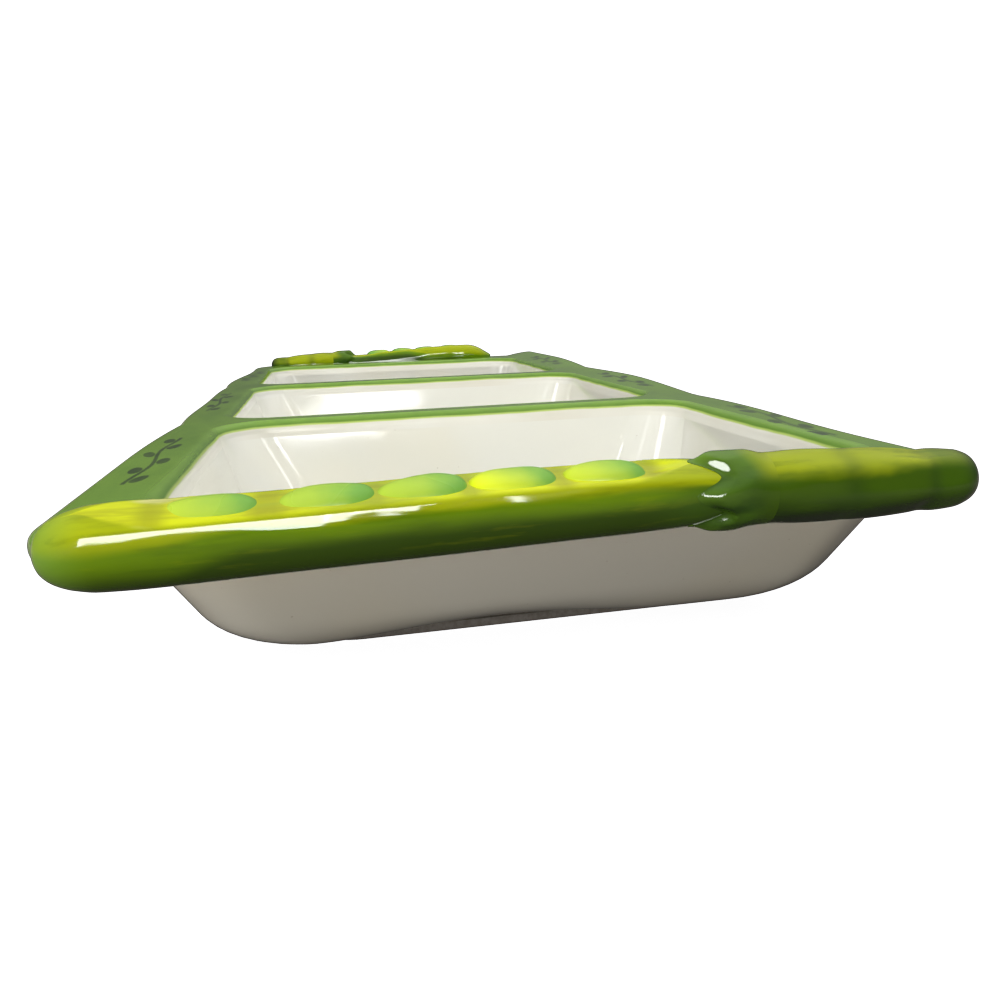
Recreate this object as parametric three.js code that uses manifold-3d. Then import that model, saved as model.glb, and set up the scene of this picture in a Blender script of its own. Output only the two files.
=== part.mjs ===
// Divided vegetable platter in glazed earthenware: a white tapered tray with three wells in a row, a green lobed
// rim flange, and a pea pod moulded along the edge of the flange at each short end.
// Millimetres, +Z up. The origin is on the table under the middle of the tray. X runs across, Y runs along.

import * as THREE from 'three';
import { LoftGeometry } from 'three/addons/geometries/LoftGeometry.js';
import { mergeVertices } from 'three/addons/utils/BufferGeometryUtils.js';
import Module from 'manifold-3d';

const wasm = await Module();
wasm.setup();

// Wells
const WELL_COUNT = 3;
const THROAT_WIDTH = 145;
const THROAT_LENGTH = 113;
const DIVIDER_THICKNESS = 12.5;
const WELL_CORNER_RADIUS = 14;
const WELL_CORNER_GROWTH = 0.6;
const WELL_DRAFT = 20;
const WELL_FLOOR_RADIUS = 14;
const LIP_RADIUS = 3.6;

// Heights and walls
const RIM_HEIGHT = 36.5;
const RIM_THICKNESS = 5;
const FOOT_HEIGHT = 2;
const FLOOR_THICKNESS = 4.5;
const WALL_TOP = 7;
const BASIN_DRAFT = 26;
const BASIN_FLOOR_RADIUS = 18;
const BASIN_CORNER_RADIUS = 17;
const FOOT_WIDTH = 6;
const FOOT_SET_IN = 0.8;

// Flange
const SIDE_FLANGE = 17.5;
const NOTCH_DEPTH = 3;
const END_FLANGE = 21;
// The flange keeps its width up to a pod's tip, and draws in towards its stem over this stretch of Y
const TIP_CORNER_RADIUS = 16;
const STEM_CORNER_RADIUS = 20;
const STEM_DRAW_IN = 6.5;
const DRAW_IN_START = 69;
const DRAW_IN_END = 163;
const FLANGE_EDGE_RADIUS = 2.2;

// Pods: the one at the far end is the shorter
const NEAR_POD_LENGTH = 109;
const NEAR_TIP_SET_IN = 5.3;
const NEAR_STEM_SET_IN = 16.5;
const NEAR_PEA_COUNT = 5;
const NEAR_TIP_LIFT = - 1;
const FAR_POD_LENGTH = 94;
const FAR_TIP_SET_IN = 25;
const FAR_STEM_SET_IN = 15.7;
const FAR_PEA_COUNT = 4;
const FAR_TIP_LIFT = 2;

// Shell: radius at each share of the length from the tip
const POD_RISE = 0.5;
const POD_PROFILE = [
	[ 0, 1.2 ], [ 0.006, 3 ], [ 0.02, 4.8 ], [ 0.042, 5.9 ], [ 0.075, 6.6 ], [ 0.14, 6.7 ], [ 0.24, 6.6 ],
	[ 0.39, 6.7 ], [ 0.53, 6.7 ], [ 0.68, 6.7 ], [ 0.82, 6.6 ], [ 0.92, 6.3 ], [ 0.97, 5.8 ], [ 1, 5.2 ],
];
const SLIT_FROM_TIP = 12.5;
const SLIT_FROM_END = 7;
const SLIT_LEAN = 15;
const SLIT_HALF_WIDTH = 4.6;
const SLIT_HALF_DEPTH = 3.6;
const SLIT_RISE = 5;

// Peas
const PEA_PITCH = 15.1;
const PEA_HALF_LENGTH = 6.6;
const PEA_HALF_WIDTH = 4;
const PEA_HALF_DEPTH = 2.9;
const PEA_RISE = 3.9;

// Calyx: radius and lobe height at each distance from the sepal tips
const SEPAL_COUNT = 5;
const SEPAL_OVERLAP = 7;
const CALYX_PROFILE = [
	[ 0, 6, 0.8 ], [ 2.5, 6.5, 0.7 ], [ 5.5, 6.6, 0.5 ], [ 8.5, 6.5, 0.4 ], [ 11.5, 6.2, 0.25 ], [ 14.5, 6, 0.1 ],
];

// Stem: radius at each share of its length from the calyx
const STEM_DROOP = 1.5;
const STEM_PROFILE = [
	[ 0, 5.9 ], [ 0.06, 6.2 ], [ 0.18, 6.4 ], [ 0.3, 6.3 ], [ 0.36, 6 ], [ 0.42, 6.2 ], [ 0.56, 6 ],
	[ 0.66, 5.7 ], [ 0.72, 5.3 ], [ 0.77, 5.5 ], [ 0.88, 5.1 ], [ 0.95, 4.2 ], [ 1, 2.8 ],
];

// Clearance between a piece and the neighbour that it is shaped round, and how far a cut runs clear of a face
const SEAT_GAP = 0.3;
const CUT_CLEAR = 2;
// A fillet that would run out to nothing ends at this thickness
const FEATHER_EDGE = 0.8;

// Fineness of the curves
const CORNER_STEPS = 7;
const FILLET_STEPS = 5;
const LIP_STEPS = 5;
const LOBE_STEPS = 8;
const RING_POINTS = 20;
const SLIT_POINTS = 14;
const SLIT_STEPS = 14;
const PEA_SLICES = 14;
const PEA_STACKS = 8;
const CALYX_POINTS = 40;

// Places that follow from the sizes
const PITCH = THROAT_LENGTH + DIVIDER_THICKNESS;
const ROW_LENGTH = WELL_COUNT * THROAT_LENGTH + ( WELL_COUNT - 1 ) * DIVIDER_THICKNESS;
const SEAM_HEIGHT = RIM_HEIGHT - RIM_THICKNESS;
const THROAT_HEIGHT = RIM_HEIGHT - LIP_RADIUS;
const FLOOR_HEIGHT = FOOT_HEIGHT + FLOOR_THICKNESS;
const CREST_HALF = THROAT_WIDTH / 2 + SIDE_FLANGE;
const FLANGE_END = ROW_LENGTH / 2 + END_FLANGE;
const POD_HEIGHT = RIM_HEIGHT + POD_RISE;
const radians = THREE.MathUtils.degToRad;
const lerp = THREE.MathUtils.lerp;
const lastOf = ( list ) => list[ list.length - 1 ];
const wellCentre = ( i ) => ( i - ( WELL_COUNT - 1 ) / 2 ) * PITCH;

// Solids: a closed geometry becomes a solid that can be joined and cut, and goes back to a geometry

function solidFrom( geometry ) {

	const bare = new THREE.BufferGeometry();
	bare.setAttribute( 'position', geometry.getAttribute( 'position' ) );
	bare.setIndex( geometry.getIndex() );
	const merged = mergeVertices( bare );
	const mesh = new wasm.Mesh( {
		numProp: 3,
		vertProperties: merged.attributes.position.array,
		triVerts: new Uint32Array( merged.index.array ),
	} );
	return new wasm.Manifold( mesh );

}

function geometryFrom( solid ) {

	const mesh = solid.getMesh();
	const geometry = new THREE.BufferGeometry();
	geometry.setAttribute( 'position', new THREE.BufferAttribute( new Float32Array( mesh.vertProperties ), 3 ) );
	geometry.setIndex( new THREE.BufferAttribute( new Uint32Array( mesh.triVerts ), 1 ) );
	geometry.computeVertexNormals();
	return geometry;

}

function loftSolid( sections ) {

	return solidFrom( new LoftGeometry( sections, { capStart: true, capEnd: true } ) );

}

// Outlines in plan, counterclockwise seen from above

function roundedRectangle( halfX, halfY, radius, z, centreY ) {

	const points = [];
	const corners = [ [ 1, 1 ], [ - 1, 1 ], [ - 1, - 1 ], [ 1, - 1 ] ];
	corners.forEach( ( [ sx, sy ], quarter ) => {

		for ( let k = 0; k <= CORNER_STEPS; k ++ ) {

			const angle = ( quarter + k / CORNER_STEPS ) * Math.PI / 2;
			const x = sx * ( halfX - radius ) + radius * Math.cos( angle );
			const y = sy * ( halfY - radius ) + radius * Math.sin( angle );
			points.push( new THREE.Vector3( x, centreY + y, z ) );

		}

	} );
	return points;

}

// The lobed outline of the flange, with a convex lobe beside each well and a notch at each divider
function flangeOutline() {

	const half = [];
	const stemCorner = [ CREST_HALF - STEM_DRAW_IN - STEM_CORNER_RADIUS, STEM_CORNER_RADIUS - FLANGE_END ];
	for ( let k = 0; k < CORNER_STEPS; k ++ ) {

		const angle = ( k / CORNER_STEPS - 1 ) * Math.PI / 2;
		half.push( [
			stemCorner[ 0 ] + STEM_CORNER_RADIUS * Math.cos( angle ),
			stemCorner[ 1 ] + STEM_CORNER_RADIUS * Math.sin( angle ),
		] );

	}

	const tipCorner = [ CREST_HALF - TIP_CORNER_RADIUS, FLANGE_END - TIP_CORNER_RADIUS ];
	const steps = LOBE_STEPS * WELL_COUNT;
	for ( let k = 0; k <= steps; k ++ ) {

		const y = lerp( stemCorner[ 1 ], tipCorner[ 1 ], k / steps );
		const i = THREE.MathUtils.clamp( Math.round( ( y - wellCentre( 0 ) ) / PITCH ), 0, WELL_COUNT - 1 );
		const across = 2 * ( y - wellCentre( i ) ) / PITCH;
		const outward = ( i === 0 && across < 0 ) || ( i === WELL_COUNT - 1 && across > 0 );
		const notch = outward ? 0 : NOTCH_DEPTH * across * across;
		const drawn = STEM_DRAW_IN * THREE.MathUtils.smoothstep( - y, DRAW_IN_START, DRAW_IN_END );
		half.push( [ CREST_HALF - notch - drawn, y ] );

	}

	for ( let k = 1; k <= CORNER_STEPS; k ++ ) {

		const angle = k / CORNER_STEPS * Math.PI / 2;
		half.push( [
			tipCorner[ 0 ] + TIP_CORNER_RADIUS * Math.cos( angle ),
			tipCorner[ 1 ] + TIP_CORNER_RADIUS * Math.sin( angle ),
		] );

	}

	const turned = half.map( ( [ x, y ] ) => [ - x, - y ] );
	return [ ...half, ...turned ].map( ( [ x, y ] ) => new THREE.Vector2( x, y ) );

}

// The same outline moved outwards by a distance, at a height
function flangeSection( outline, outwards, z ) {

	return outline.map( ( point, i ) => {

		const before = outline[ ( i + outline.length - 1 ) % outline.length ];
		const after = outline[ ( i + 1 ) % outline.length ];
		const inward = point.clone().sub( before ).normalize();
		const onward = after.clone().sub( point ).normalize();
		const along = inward.add( onward ).normalize();
		return new THREE.Vector3( point.x + along.y * outwards, point.y - along.x * outwards, z );

	} );

}

// Wall profiles as [ distance outwards from the throat, height ], from the floor up

// A drafted wall that starts at [ outwards, top ] and ends in a fillet on the floor
function wallProfile( outwards, top, draft, radius, floor ) {

	const lean = radians( draft );
	const centreHeight = floor + radius;
	const drop = top - centreHeight;
	const centreOut = outwards - ( radius + drop * Math.sin( lean ) ) / Math.cos( lean );
	const rows = [];
	for ( let k = 0; k <= FILLET_STEPS; k ++ ) {

		const angle = lerp( Math.PI / 2, lean, k / FILLET_STEPS );
		rows.push( [ centreOut + radius * Math.cos( angle ), centreHeight - radius * Math.sin( angle ) ] );

	}

	rows.push( [ outwards, top ] );
	return rows;

}

const basinProfile = () => wallProfile( WALL_TOP, SEAM_HEIGHT, BASIN_DRAFT, BASIN_FLOOR_RADIUS, FOOT_HEIGHT );
const wellProfile = ( floor ) => wallProfile( 0, THROAT_HEIGHT, WELL_DRAFT, WELL_FLOOR_RADIUS, floor );

function lipProfile() {

	const rows = [];
	for ( let k = 1; k <= LIP_STEPS; k ++ ) {

		const angle = k / LIP_STEPS * Math.PI / 2;
		rows.push( [ LIP_RADIUS * ( 1 - Math.cos( angle ) ), THROAT_HEIGHT + LIP_RADIUS * Math.sin( angle ) ] );

	}

	rows.push( [ LIP_RADIUS, RIM_HEIGHT + CUT_CLEAR ] );
	return rows;

}

// A hollow with a rounded rectangular throat, whose corners open out towards the floor
function hollow( rows, throatX, throatY, centreY ) {

	return loftSolid( rows.map( ( [ out, z ] ) => {

		const radius = out > 0 ? WELL_CORNER_RADIUS + out : WELL_CORNER_RADIUS - WELL_CORNER_GROWTH * out;
		return roundedRectangle( throatX / 2 + out, throatY / 2 + out, radius, z, centreY );

	} ) );

}

// Pieces

function material( colour, roughness ) {

	return new THREE.MeshStandardMaterial( { color: colour, roughness, metalness: 0 } );

}

const WHITE_GLAZE = 0xe6e5da;
const FOOT_CLAY = 0xcdc6b8;
const FLANGE_GREEN = 0x769e40;
const POD_GREEN = 0x6f9a1e;
const PEA_GREEN = 0xa5dc50;
const CALYX_GREEN = 0x37501a;
const STEM_GREEN = 0x7c9c1c;
const GLOSSY = 0.12;
const MATT = 0.7;

const platter = new THREE.Group();

function addPiece( group, name, solid, colour, roughness ) {

	const mesh = new THREE.Mesh( geometryFrom( solid ), material( colour, roughness ) );
	mesh.name = name;
	group.add( mesh );

}

// Tray: one tapered basin, with the long hollow that the dividers part into wells
const basinBlock = loftSolid( basinProfile().map( ( [ out, z ] ) =>
	roundedRectangle( THROAT_WIDTH / 2 + out, ROW_LENGTH / 2 + out, BASIN_CORNER_RADIUS, z, 0 ) ) );
const trough = hollow( wellProfile( FLOOR_HEIGHT ), THROAT_WIDTH, ROW_LENGTH, 0 );
addPiece( platter, 'tray_basin', basinBlock.subtract( trough ), WHITE_GLAZE, GLOSSY );

// Foot: a low ring under the flat of the base
const [ baseOut ] = basinProfile()[ 0 ];
const footSection = ( setIn, z ) => roundedRectangle(
	THROAT_WIDTH / 2 + baseOut - setIn, ROW_LENGTH / 2 + baseOut - setIn, BASIN_CORNER_RADIUS - setIn, z, 0 );
const footBlock = loftSolid( [ footSection( FOOT_SET_IN, 0 ), footSection( FOOT_SET_IN, FOOT_HEIGHT ) ] );
const footHollow = loftSolid( [
	footSection( FOOT_SET_IN + FOOT_WIDTH, - CUT_CLEAR ),
	footSection( FOOT_SET_IN + FOOT_WIDTH, FOOT_HEIGHT + CUT_CLEAR ),
] );
addPiece( platter, 'foot_ring', footBlock.subtract( footHollow ), FOOT_CLAY, MATT );

// Dividers: what is left of the long hollow between two wells, up to the underside of the rim
const innerTrough = hollow(
	wellProfile( FLOOR_HEIGHT ).map( ( [ out, z ] ) => [ out - SEAT_GAP, z ] ), THROAT_WIDTH, ROW_LENGTH, 0 );
const wells = [];
for ( let i = 0; i < WELL_COUNT; i ++ ) {

	const rows = [ ...wellProfile( FLOOR_HEIGHT - FEATHER_EDGE ), ...lipProfile() ];
	wells.push( hollow( rows, THROAT_WIDTH + 2 * FEATHER_EDGE, THROAT_LENGTH, wellCentre( i ) ) );

}

for ( let i = 1; i < WELL_COUNT; i ++ ) {

	const height = SEAM_HEIGHT - FLOOR_HEIGHT;
	const slab = new THREE.BoxGeometry( THROAT_WIDTH, PITCH, height );
	slab.translate( 0, ( wellCentre( i - 1 ) + wellCentre( i ) ) / 2, FLOOR_HEIGHT + height / 2 );
	const divider = solidFrom( slab ).intersect( innerTrough ).subtract( wells[ i - 1 ] ).subtract( wells[ i ] );
	addPiece( platter, `divider_${ i }`, divider, WHITE_GLAZE, GLOSSY );

}

// Rim: the lobed flange with rounded edges and a mouth with a rounded lip over each well
const outline = flangeOutline();
const rimSections = [];
for ( let k = 0; k <= LIP_STEPS; k ++ ) {

	const angle = k / LIP_STEPS * Math.PI / 2;
	const out = FLANGE_EDGE_RADIUS * ( Math.sin( angle ) - 1 );
	rimSections.push( flangeSection( outline, out, SEAM_HEIGHT + FLANGE_EDGE_RADIUS * ( 1 - Math.cos( angle ) ) ) );

}

for ( let k = 0; k <= LIP_STEPS; k ++ ) {

	const angle = k / LIP_STEPS * Math.PI / 2;
	const out = FLANGE_EDGE_RADIUS * ( Math.cos( angle ) - 1 );
	rimSections.push( flangeSection( outline, out, RIM_HEIGHT - FLANGE_EDGE_RADIUS * ( 1 - Math.sin( angle ) ) ) );

}

let rim = loftSolid( rimSections );
for ( let i = 0; i < WELL_COUNT; i ++ ) {

	const rows = [ ...wellProfile( FLOOR_HEIGHT ), ...lipProfile() ];
	rim = rim.subtract( hollow( rows, THROAT_WIDTH, THROAT_LENGTH, wellCentre( i ) ) );

}

addPiece( platter, 'rim_flange', rim, FLANGE_GREEN, GLOSSY );

// Pods: each is laid out along the -Y end, with places in X, and the far one is then turned half a turn
function podLayout( length, tipSetIn, stemSetIn, peaCount, tipLift ) {

	const tip = tipSetIn - CREST_HALF;
	const slitStart = tip + SLIT_FROM_TIP;
	const slitEnd = tip + length - SLIT_FROM_END;
	const calyxStart = tip + length - SEPAL_OVERLAP;
	const stemStart = calyxStart + lastOf( CALYX_PROFILE )[ 0 ] + SEAT_GAP;
	const stemLength = CREST_HALF - stemSetIn - stemStart;
	const peas = [];
	for ( let i = 0; i < peaCount; i ++ ) {

		peas.push( ( slitStart + slitEnd ) / 2 + ( i - ( peaCount - 1 ) / 2 ) * PEA_PITCH );

	}

	return { length, tip, slitStart, slitEnd, calyxStart, stemStart, stemLength, peas, tipLift };

}

const nearLayout = podLayout( NEAR_POD_LENGTH, NEAR_TIP_SET_IN, NEAR_STEM_SET_IN, NEAR_PEA_COUNT, NEAR_TIP_LIFT );
const farLayout = podLayout( FAR_POD_LENGTH, FAR_TIP_SET_IN, FAR_STEM_SET_IN, FAR_PEA_COUNT, FAR_TIP_LIFT );
const rimSlot = loftSolid( [
	flangeSection( outline, SEAT_GAP, SEAM_HEIGHT - SEAT_GAP ),
	flangeSection( outline, SEAT_GAP, RIM_HEIGHT + SEAT_GAP ),
] );
const lean = radians( SLIT_LEAN );
const upward = new THREE.Vector3( 0, - Math.sin( lean ), Math.cos( lean ) );
const sideways = new THREE.Vector3( 0, Math.cos( lean ), Math.sin( lean ) );

// The axis stands higher or lower at the tip, and runs level from the calyx on
function podAxis( layout, x, drop ) {

	const share = THREE.MathUtils.clamp( ( layout.calyxStart - x ) / ( layout.calyxStart - layout.tip ), 0, 1 );
	return new THREE.Vector3( x, - FLANGE_END, POD_HEIGHT + layout.tipLift * share - drop );

}

// A ring round the pod's axis whose radius may change round it
function ring( centre, points, radiusAt ) {

	const section = [];
	for ( let k = 0; k < points; k ++ ) {

		const angle = k / points * Math.PI * 2;
		const reach = radiusAt( angle );
		section.push( new THREE.Vector3(
			centre.x, centre.y + reach * Math.cos( angle ), centre.z + reach * Math.sin( angle ) ) );

	}

	return section;

}

function podBody( layout, grown ) {

	const last = POD_PROFILE.length - 1;
	return loftSolid( POD_PROFILE.map( ( [ share, radius ], i ) => {

		const past = i === 0 ? - grown : i === last ? grown : 0;
		return ring( podAxis( layout, layout.tip + share * layout.length + past, 0 ), RING_POINTS, () => radius + grown );

	} ) );

}

function slitCut( layout ) {

	const sections = [];
	for ( let k = 0; k <= SLIT_STEPS; k ++ ) {

		const across = - Math.cos( k / SLIT_STEPS * Math.PI );
		const fullness = Math.max( Math.sqrt( Math.sqrt( 1 - across * across ) ), FEATHER_EDGE / SLIT_HALF_WIDTH );
		const x = lerp( layout.slitStart, layout.slitEnd, ( across + 1 ) / 2 );
		const centre = podAxis( layout, x, 0 ).addScaledVector( upward, SLIT_RISE );
		const section = [];
		for ( let j = 0; j < SLIT_POINTS; j ++ ) {

			const angle = j / SLIT_POINTS * Math.PI * 2;
			section.push( centre.clone()
				.addScaledVector( sideways, SLIT_HALF_WIDTH * fullness * Math.cos( angle ) )
				.addScaledVector( upward, SLIT_HALF_DEPTH * fullness * Math.sin( angle ) ) );

		}

		sections.push( section );

	}

	return loftSolid( sections );

}

function pea( layout, x, grown ) {

	const ball = new THREE.SphereGeometry( 1, PEA_SLICES, PEA_STACKS );
	ball.scale( PEA_HALF_LENGTH + grown, PEA_HALF_WIDTH + grown, PEA_HALF_DEPTH + grown );
	ball.rotateX( lean );
	const centre = podAxis( layout, x, 0 ).addScaledVector( upward, PEA_RISE );
	ball.translate( centre.x, centre.y, centre.z );
	return solidFrom( ball );

}

function calyxBody( layout ) {

	return loftSolid( CALYX_PROFILE.map( ( [ along, radius, lobe ] ) =>
		ring( podAxis( layout, layout.calyxStart + along, 0 ), CALYX_POINTS,
			( angle ) => radius + lobe * Math.cos( SEPAL_COUNT * ( angle - Math.PI / 2 - lean ) ) ) ) );

}

function stemBody( layout ) {

	return loftSolid( STEM_PROFILE.map( ( [ share, radius ] ) =>
		ring( podAxis( layout, layout.stemStart + share * layout.stemLength, STEM_DROOP * share ),
			RING_POINTS, () => radius ) ) );

}

function addPod( group, end, layout ) {

	let shell = podBody( layout, 0 ).subtract( slitCut( layout ) ).subtract( rimSlot );
	layout.peas.forEach( ( x, i ) => {

		shell = shell.subtract( pea( layout, x, SEAT_GAP ) );
		addPiece( group, `${ end }_pea_${ i + 1 }`, pea( layout, x, 0 ), PEA_GREEN, GLOSSY );

	} );
	addPiece( group, `${ end }_pod_shell`, shell, POD_GREEN, GLOSSY );
	const calyx = calyxBody( layout ).subtract( podBody( layout, SEAT_GAP ) ).subtract( rimSlot );
	addPiece( group, `${ end }_pod_calyx`, calyx, CALYX_GREEN, GLOSSY );
	addPiece( group, `${ end }_pod_stem`, stemBody( layout ).subtract( rimSlot ), STEM_GREEN, GLOSSY );

}

const nearEnd = new THREE.Group();
const farEnd = new THREE.Group();
farEnd.rotation.z = Math.PI;
addPod( nearEnd, 'near', nearLayout );
addPod( farEnd, 'far', farLayout );
platter.add( nearEnd, farEnd );

export default platter;
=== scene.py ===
import math

import bmesh
import bpy
from mathutils import Matrix, Vector, noise


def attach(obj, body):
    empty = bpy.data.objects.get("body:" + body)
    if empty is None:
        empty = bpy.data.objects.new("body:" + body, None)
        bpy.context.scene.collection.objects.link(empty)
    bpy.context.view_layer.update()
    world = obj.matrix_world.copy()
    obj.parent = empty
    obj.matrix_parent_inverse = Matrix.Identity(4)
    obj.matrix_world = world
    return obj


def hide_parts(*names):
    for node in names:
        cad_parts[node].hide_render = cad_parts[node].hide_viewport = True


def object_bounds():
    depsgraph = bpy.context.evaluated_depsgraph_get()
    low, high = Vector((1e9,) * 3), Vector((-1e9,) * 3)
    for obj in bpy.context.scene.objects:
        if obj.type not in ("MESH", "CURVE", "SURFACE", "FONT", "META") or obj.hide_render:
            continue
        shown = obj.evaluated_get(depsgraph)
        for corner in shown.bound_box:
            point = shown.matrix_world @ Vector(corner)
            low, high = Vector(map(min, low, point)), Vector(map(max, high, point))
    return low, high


bl_info = {
    "name": "Divided vegetable platter",
    "version": (1, 0, 0),
    "blender": (4, 5, 0),
    "location": "View3D > Sidebar > Platter",
    "description": "Models and glazes a divided earthenware platter with a pea pod on each short end",
    "category": "Add Mesh",
}

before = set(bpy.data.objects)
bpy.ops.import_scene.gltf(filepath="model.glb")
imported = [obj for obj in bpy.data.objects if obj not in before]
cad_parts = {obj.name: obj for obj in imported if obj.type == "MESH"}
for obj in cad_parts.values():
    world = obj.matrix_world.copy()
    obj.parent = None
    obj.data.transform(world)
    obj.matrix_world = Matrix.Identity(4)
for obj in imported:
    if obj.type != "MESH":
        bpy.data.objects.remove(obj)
CAD_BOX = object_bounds()
BODY = "root"
MM = 0.001
QUARTER = math.pi / 2

# Fineness of the curves
CORNER_STEPS = 14
FILLET_STEPS = 12
ARCH_CUTS = 40
LIP_STEPS = 9
LOBE_STEPS = 20
POD_ROUND = 112
POD_STEPS = 150
PEA_ROUND = 40
PEA_STEPS = 24
CALYX_ROUND = 140
CALYX_STEPS = 26
STEM_ROUND = 72
STEM_STEPS = 80
SHARP_EDGE = math.radians(40)

# Small sizes of the tray
WALL_SHARES = (0.04, 0.5, 0.96, 1.0)
FLAT_BAND = 3 * MM
LIP_START = math.radians(13)
LIP_SUPPORT = 0.15 * MM
LIP_BAND = 0.6 * MM
EDGE_BAND = 0.7 * MM
DIVIDER_RUN = 2 * MM
DIVIDER_SINK = 0.12 * MM
DIVIDER_DROP = 1 * MM
FOOT_ROUNDING = 0.5 * MM

# Sizes of the painted sprigs
SPRIG_PLACE = 0.54
SPRIG_HALF = 30.7 * MM
SPRIG_FADE = 0.8 * MM
SPRIG_TUCK = 5 * MM
STALK_HALF = 0.35 * MM
STALK_FADE = 0.2 * MM
STALK_WAVE = 0.8 * MM
STALK_WAVES = 150.0
LEAF_STEP = 10.5 * MM
LEAF_OFF = 2 * MM
LEAF_HALF_LENGTH = 3.8 * MM
LEAF_HALF_WIDTH = 1.5 * MM
LEAF_SLANT = 0.7


# Properties that a user would change

def length(name, description, millimetres):
    """A length property that is given in millimetres."""
    return bpy.props.FloatProperty(
        name=name, description=description, default=millimetres * MM, unit="LENGTH", precision=4)


def angle(name, description, degrees):
    """An angle property that is given in degrees."""
    return bpy.props.FloatProperty(
        name=name, description=description, default=math.radians(degrees), unit="ROTATION", subtype="ANGLE")


def number(name, description, default):
    """A property without a unit."""
    return bpy.props.FloatProperty(name=name, description=description, default=default)


def power(name, description, watts):
    """A property for the power of a light."""
    return bpy.props.FloatProperty(name=name, description=description, default=watts, unit="POWER")


def count(name, description, default, least=1):
    """A property that counts like pieces."""
    return bpy.props.IntProperty(name=name, description=description, default=default, min=least)


def linear(red, green, blue):
    """A screen colour from 0 to 255 as linear light."""
    shares = [part / 255 for part in (red, green, blue)]
    return tuple(s / 12.92 if s <= 0.04045 else ((s + 0.055) / 1.055) ** 2.4 for s in shares)


def colour(name, description, red, green, blue):
    """A colour property that is given as a screen colour."""
    return bpy.props.FloatVectorProperty(
        name=name, description=description, size=3, subtype="COLOR", min=0, max=1,
        default=linear(red, green, blue))


class TraySizes(bpy.types.PropertyGroup):
    """Sizes of the tray, its wells and its rim."""

    wells: count("Wells", "How many wells stand in the row", 3)
    throat_width: length("Throat width", "Width of a well under its lip", 145)
    throat_length: length("Throat length", "Length of a well under its lip", 113)
    divider: length("Divider", "Thickness of a divider under the lips", 12.5)
    corner: length("Well corner", "Corner radius of a well under its lip", 14)
    corner_growth: number("Corner growth", "How much the well corners open out towards the floor", 0.6)
    well_draft: angle("Well draft", "Lean of the walls of a well", 20)
    well_fillet: length("Well fillet", "Radius between a well's wall and floor", 14)
    lip: length("Lip", "Radius of the rounded lip of a well", 3.6)
    rim_height: length("Rim height", "Height of the top of the rim", 36.5)
    rim_thickness: length("Rim thickness", "Thickness of the rim", 5)
    foot_height: length("Foot height", "Height of the foot ring", 2)
    foot_width: length("Foot width", "Width of the foot ring", 6)
    foot_set_in: length("Foot set in", "How far the foot stands inside the flat of the base", 0.8)
    floor: length("Floor", "Thickness of the floor", 4.5)
    wall_top: length("Wall top", "Wall thickness at the underside of the rim", 7)
    basin_draft: angle("Basin draft", "Lean of the outer walls", 26)
    basin_fillet: length("Basin fillet", "Radius between an outer wall and the base", 18)
    basin_corner: length("Basin corner", "Corner radius of the basin", 17)
    arch_rise: length("Arch rise", "How far the front lower edge arches up", 2.3)
    arch_half: length("Arch half", "Half of the arch's length", 42)
    arch_middle: length("Arch middle", "Place of the arch's middle", -9)
    arch_top: length("Arch top", "Height at which the arch has died out", 13)
    side_flange: length("Side flange", "Width of the flange beside a well", 17.5)
    end_flange: length("End flange", "Width of the flange at a short end", 21)
    notch: length("Notch", "Depth of the notch between two lobes", 3)
    flat_lobe: length("Flat lobe", "How much flatter the middle lobe is on the left side", 2.2)
    tip_corner: length("Tip corner", "Corner radius of the flange beside a pod's tip", 16)
    stem_corner: length("Stem corner", "Corner radius of the flange beside a pod's stem", 20)
    sweep: length("Sweep", "How far the flange draws in towards a pod's stem", 6.5)
    upturn: length("Upturn", "How far one long edge of the flange has warped upwards", 3.2)
    edge: length("Edge", "Radius of the flange's outer edges", 2.2)
    paint_line: length("Paint line", "Depth of the green's lower edge under the rim", 1.9)


class PodSizes(bpy.types.PropertyGroup):
    """Sizes of the pods."""

    rise: length("Rise", "Height of the pods' axis over the rim", 0.5)
    near_tip: length("Near tip", "Place of the near pod's tip across the tray", -84.7)
    near_length: length("Near length", "Length of the near pod", 109)
    near_end: length("Near stem end", "Place of the near stem's end across the tray", 73.5)
    near_peas: count("Near peas", "Peas in the near pod", 5)
    far_tip: length("Far tip", "Place of the far pod's tip, seen from outside its end", -65)
    far_length: length("Far length", "Length of the far pod", 94)
    far_end: length("Far stem end", "Place of the far stem's end, seen from outside its end", 74.3)
    far_peas: count("Far peas", "Peas in the far pod", 4)
    slit_from_tip: length("Slit from tip", "Where the slit opens, from the tip", 5.5)
    slit_from_end: length("Slit from end", "Where the slit closes, from the pod's end", 5)
    slit_depth: length("Slit depth", "Depth of the slit under the lips", 1.3)
    slit_lean: angle("Slit lean", "How far the slit turns outwards from the top", 14)
    pea_lean: angle("Pea lean", "How far the peas turn outwards from the top", 15)
    slit_half: angle("Slit half", "Half of the angle that the slit opens over", 42)
    pea_pitch: length("Pea pitch", "Distance between two peas", 15.1)
    pea_half_length: length("Pea half length", "Half of a pea's length", 7.4)
    pea_half_width: length("Pea half width", "Half of a pea's width", 4.0)
    pea_half_depth: length("Pea half depth", "Half of a pea's depth", 2.9)
    pea_rise: length("Pea rise", "Height of a pea's middle over the axis", 4.0)
    sepals: count("Sepals", "Sepals of a calyx", 5, 3)
    calyx_length: length("Calyx length", "Length of a calyx with its sepals", 14.5)
    sepal_overlap: length("Sepal overlap", "How far the sepals lie over the pod", 7)


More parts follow.
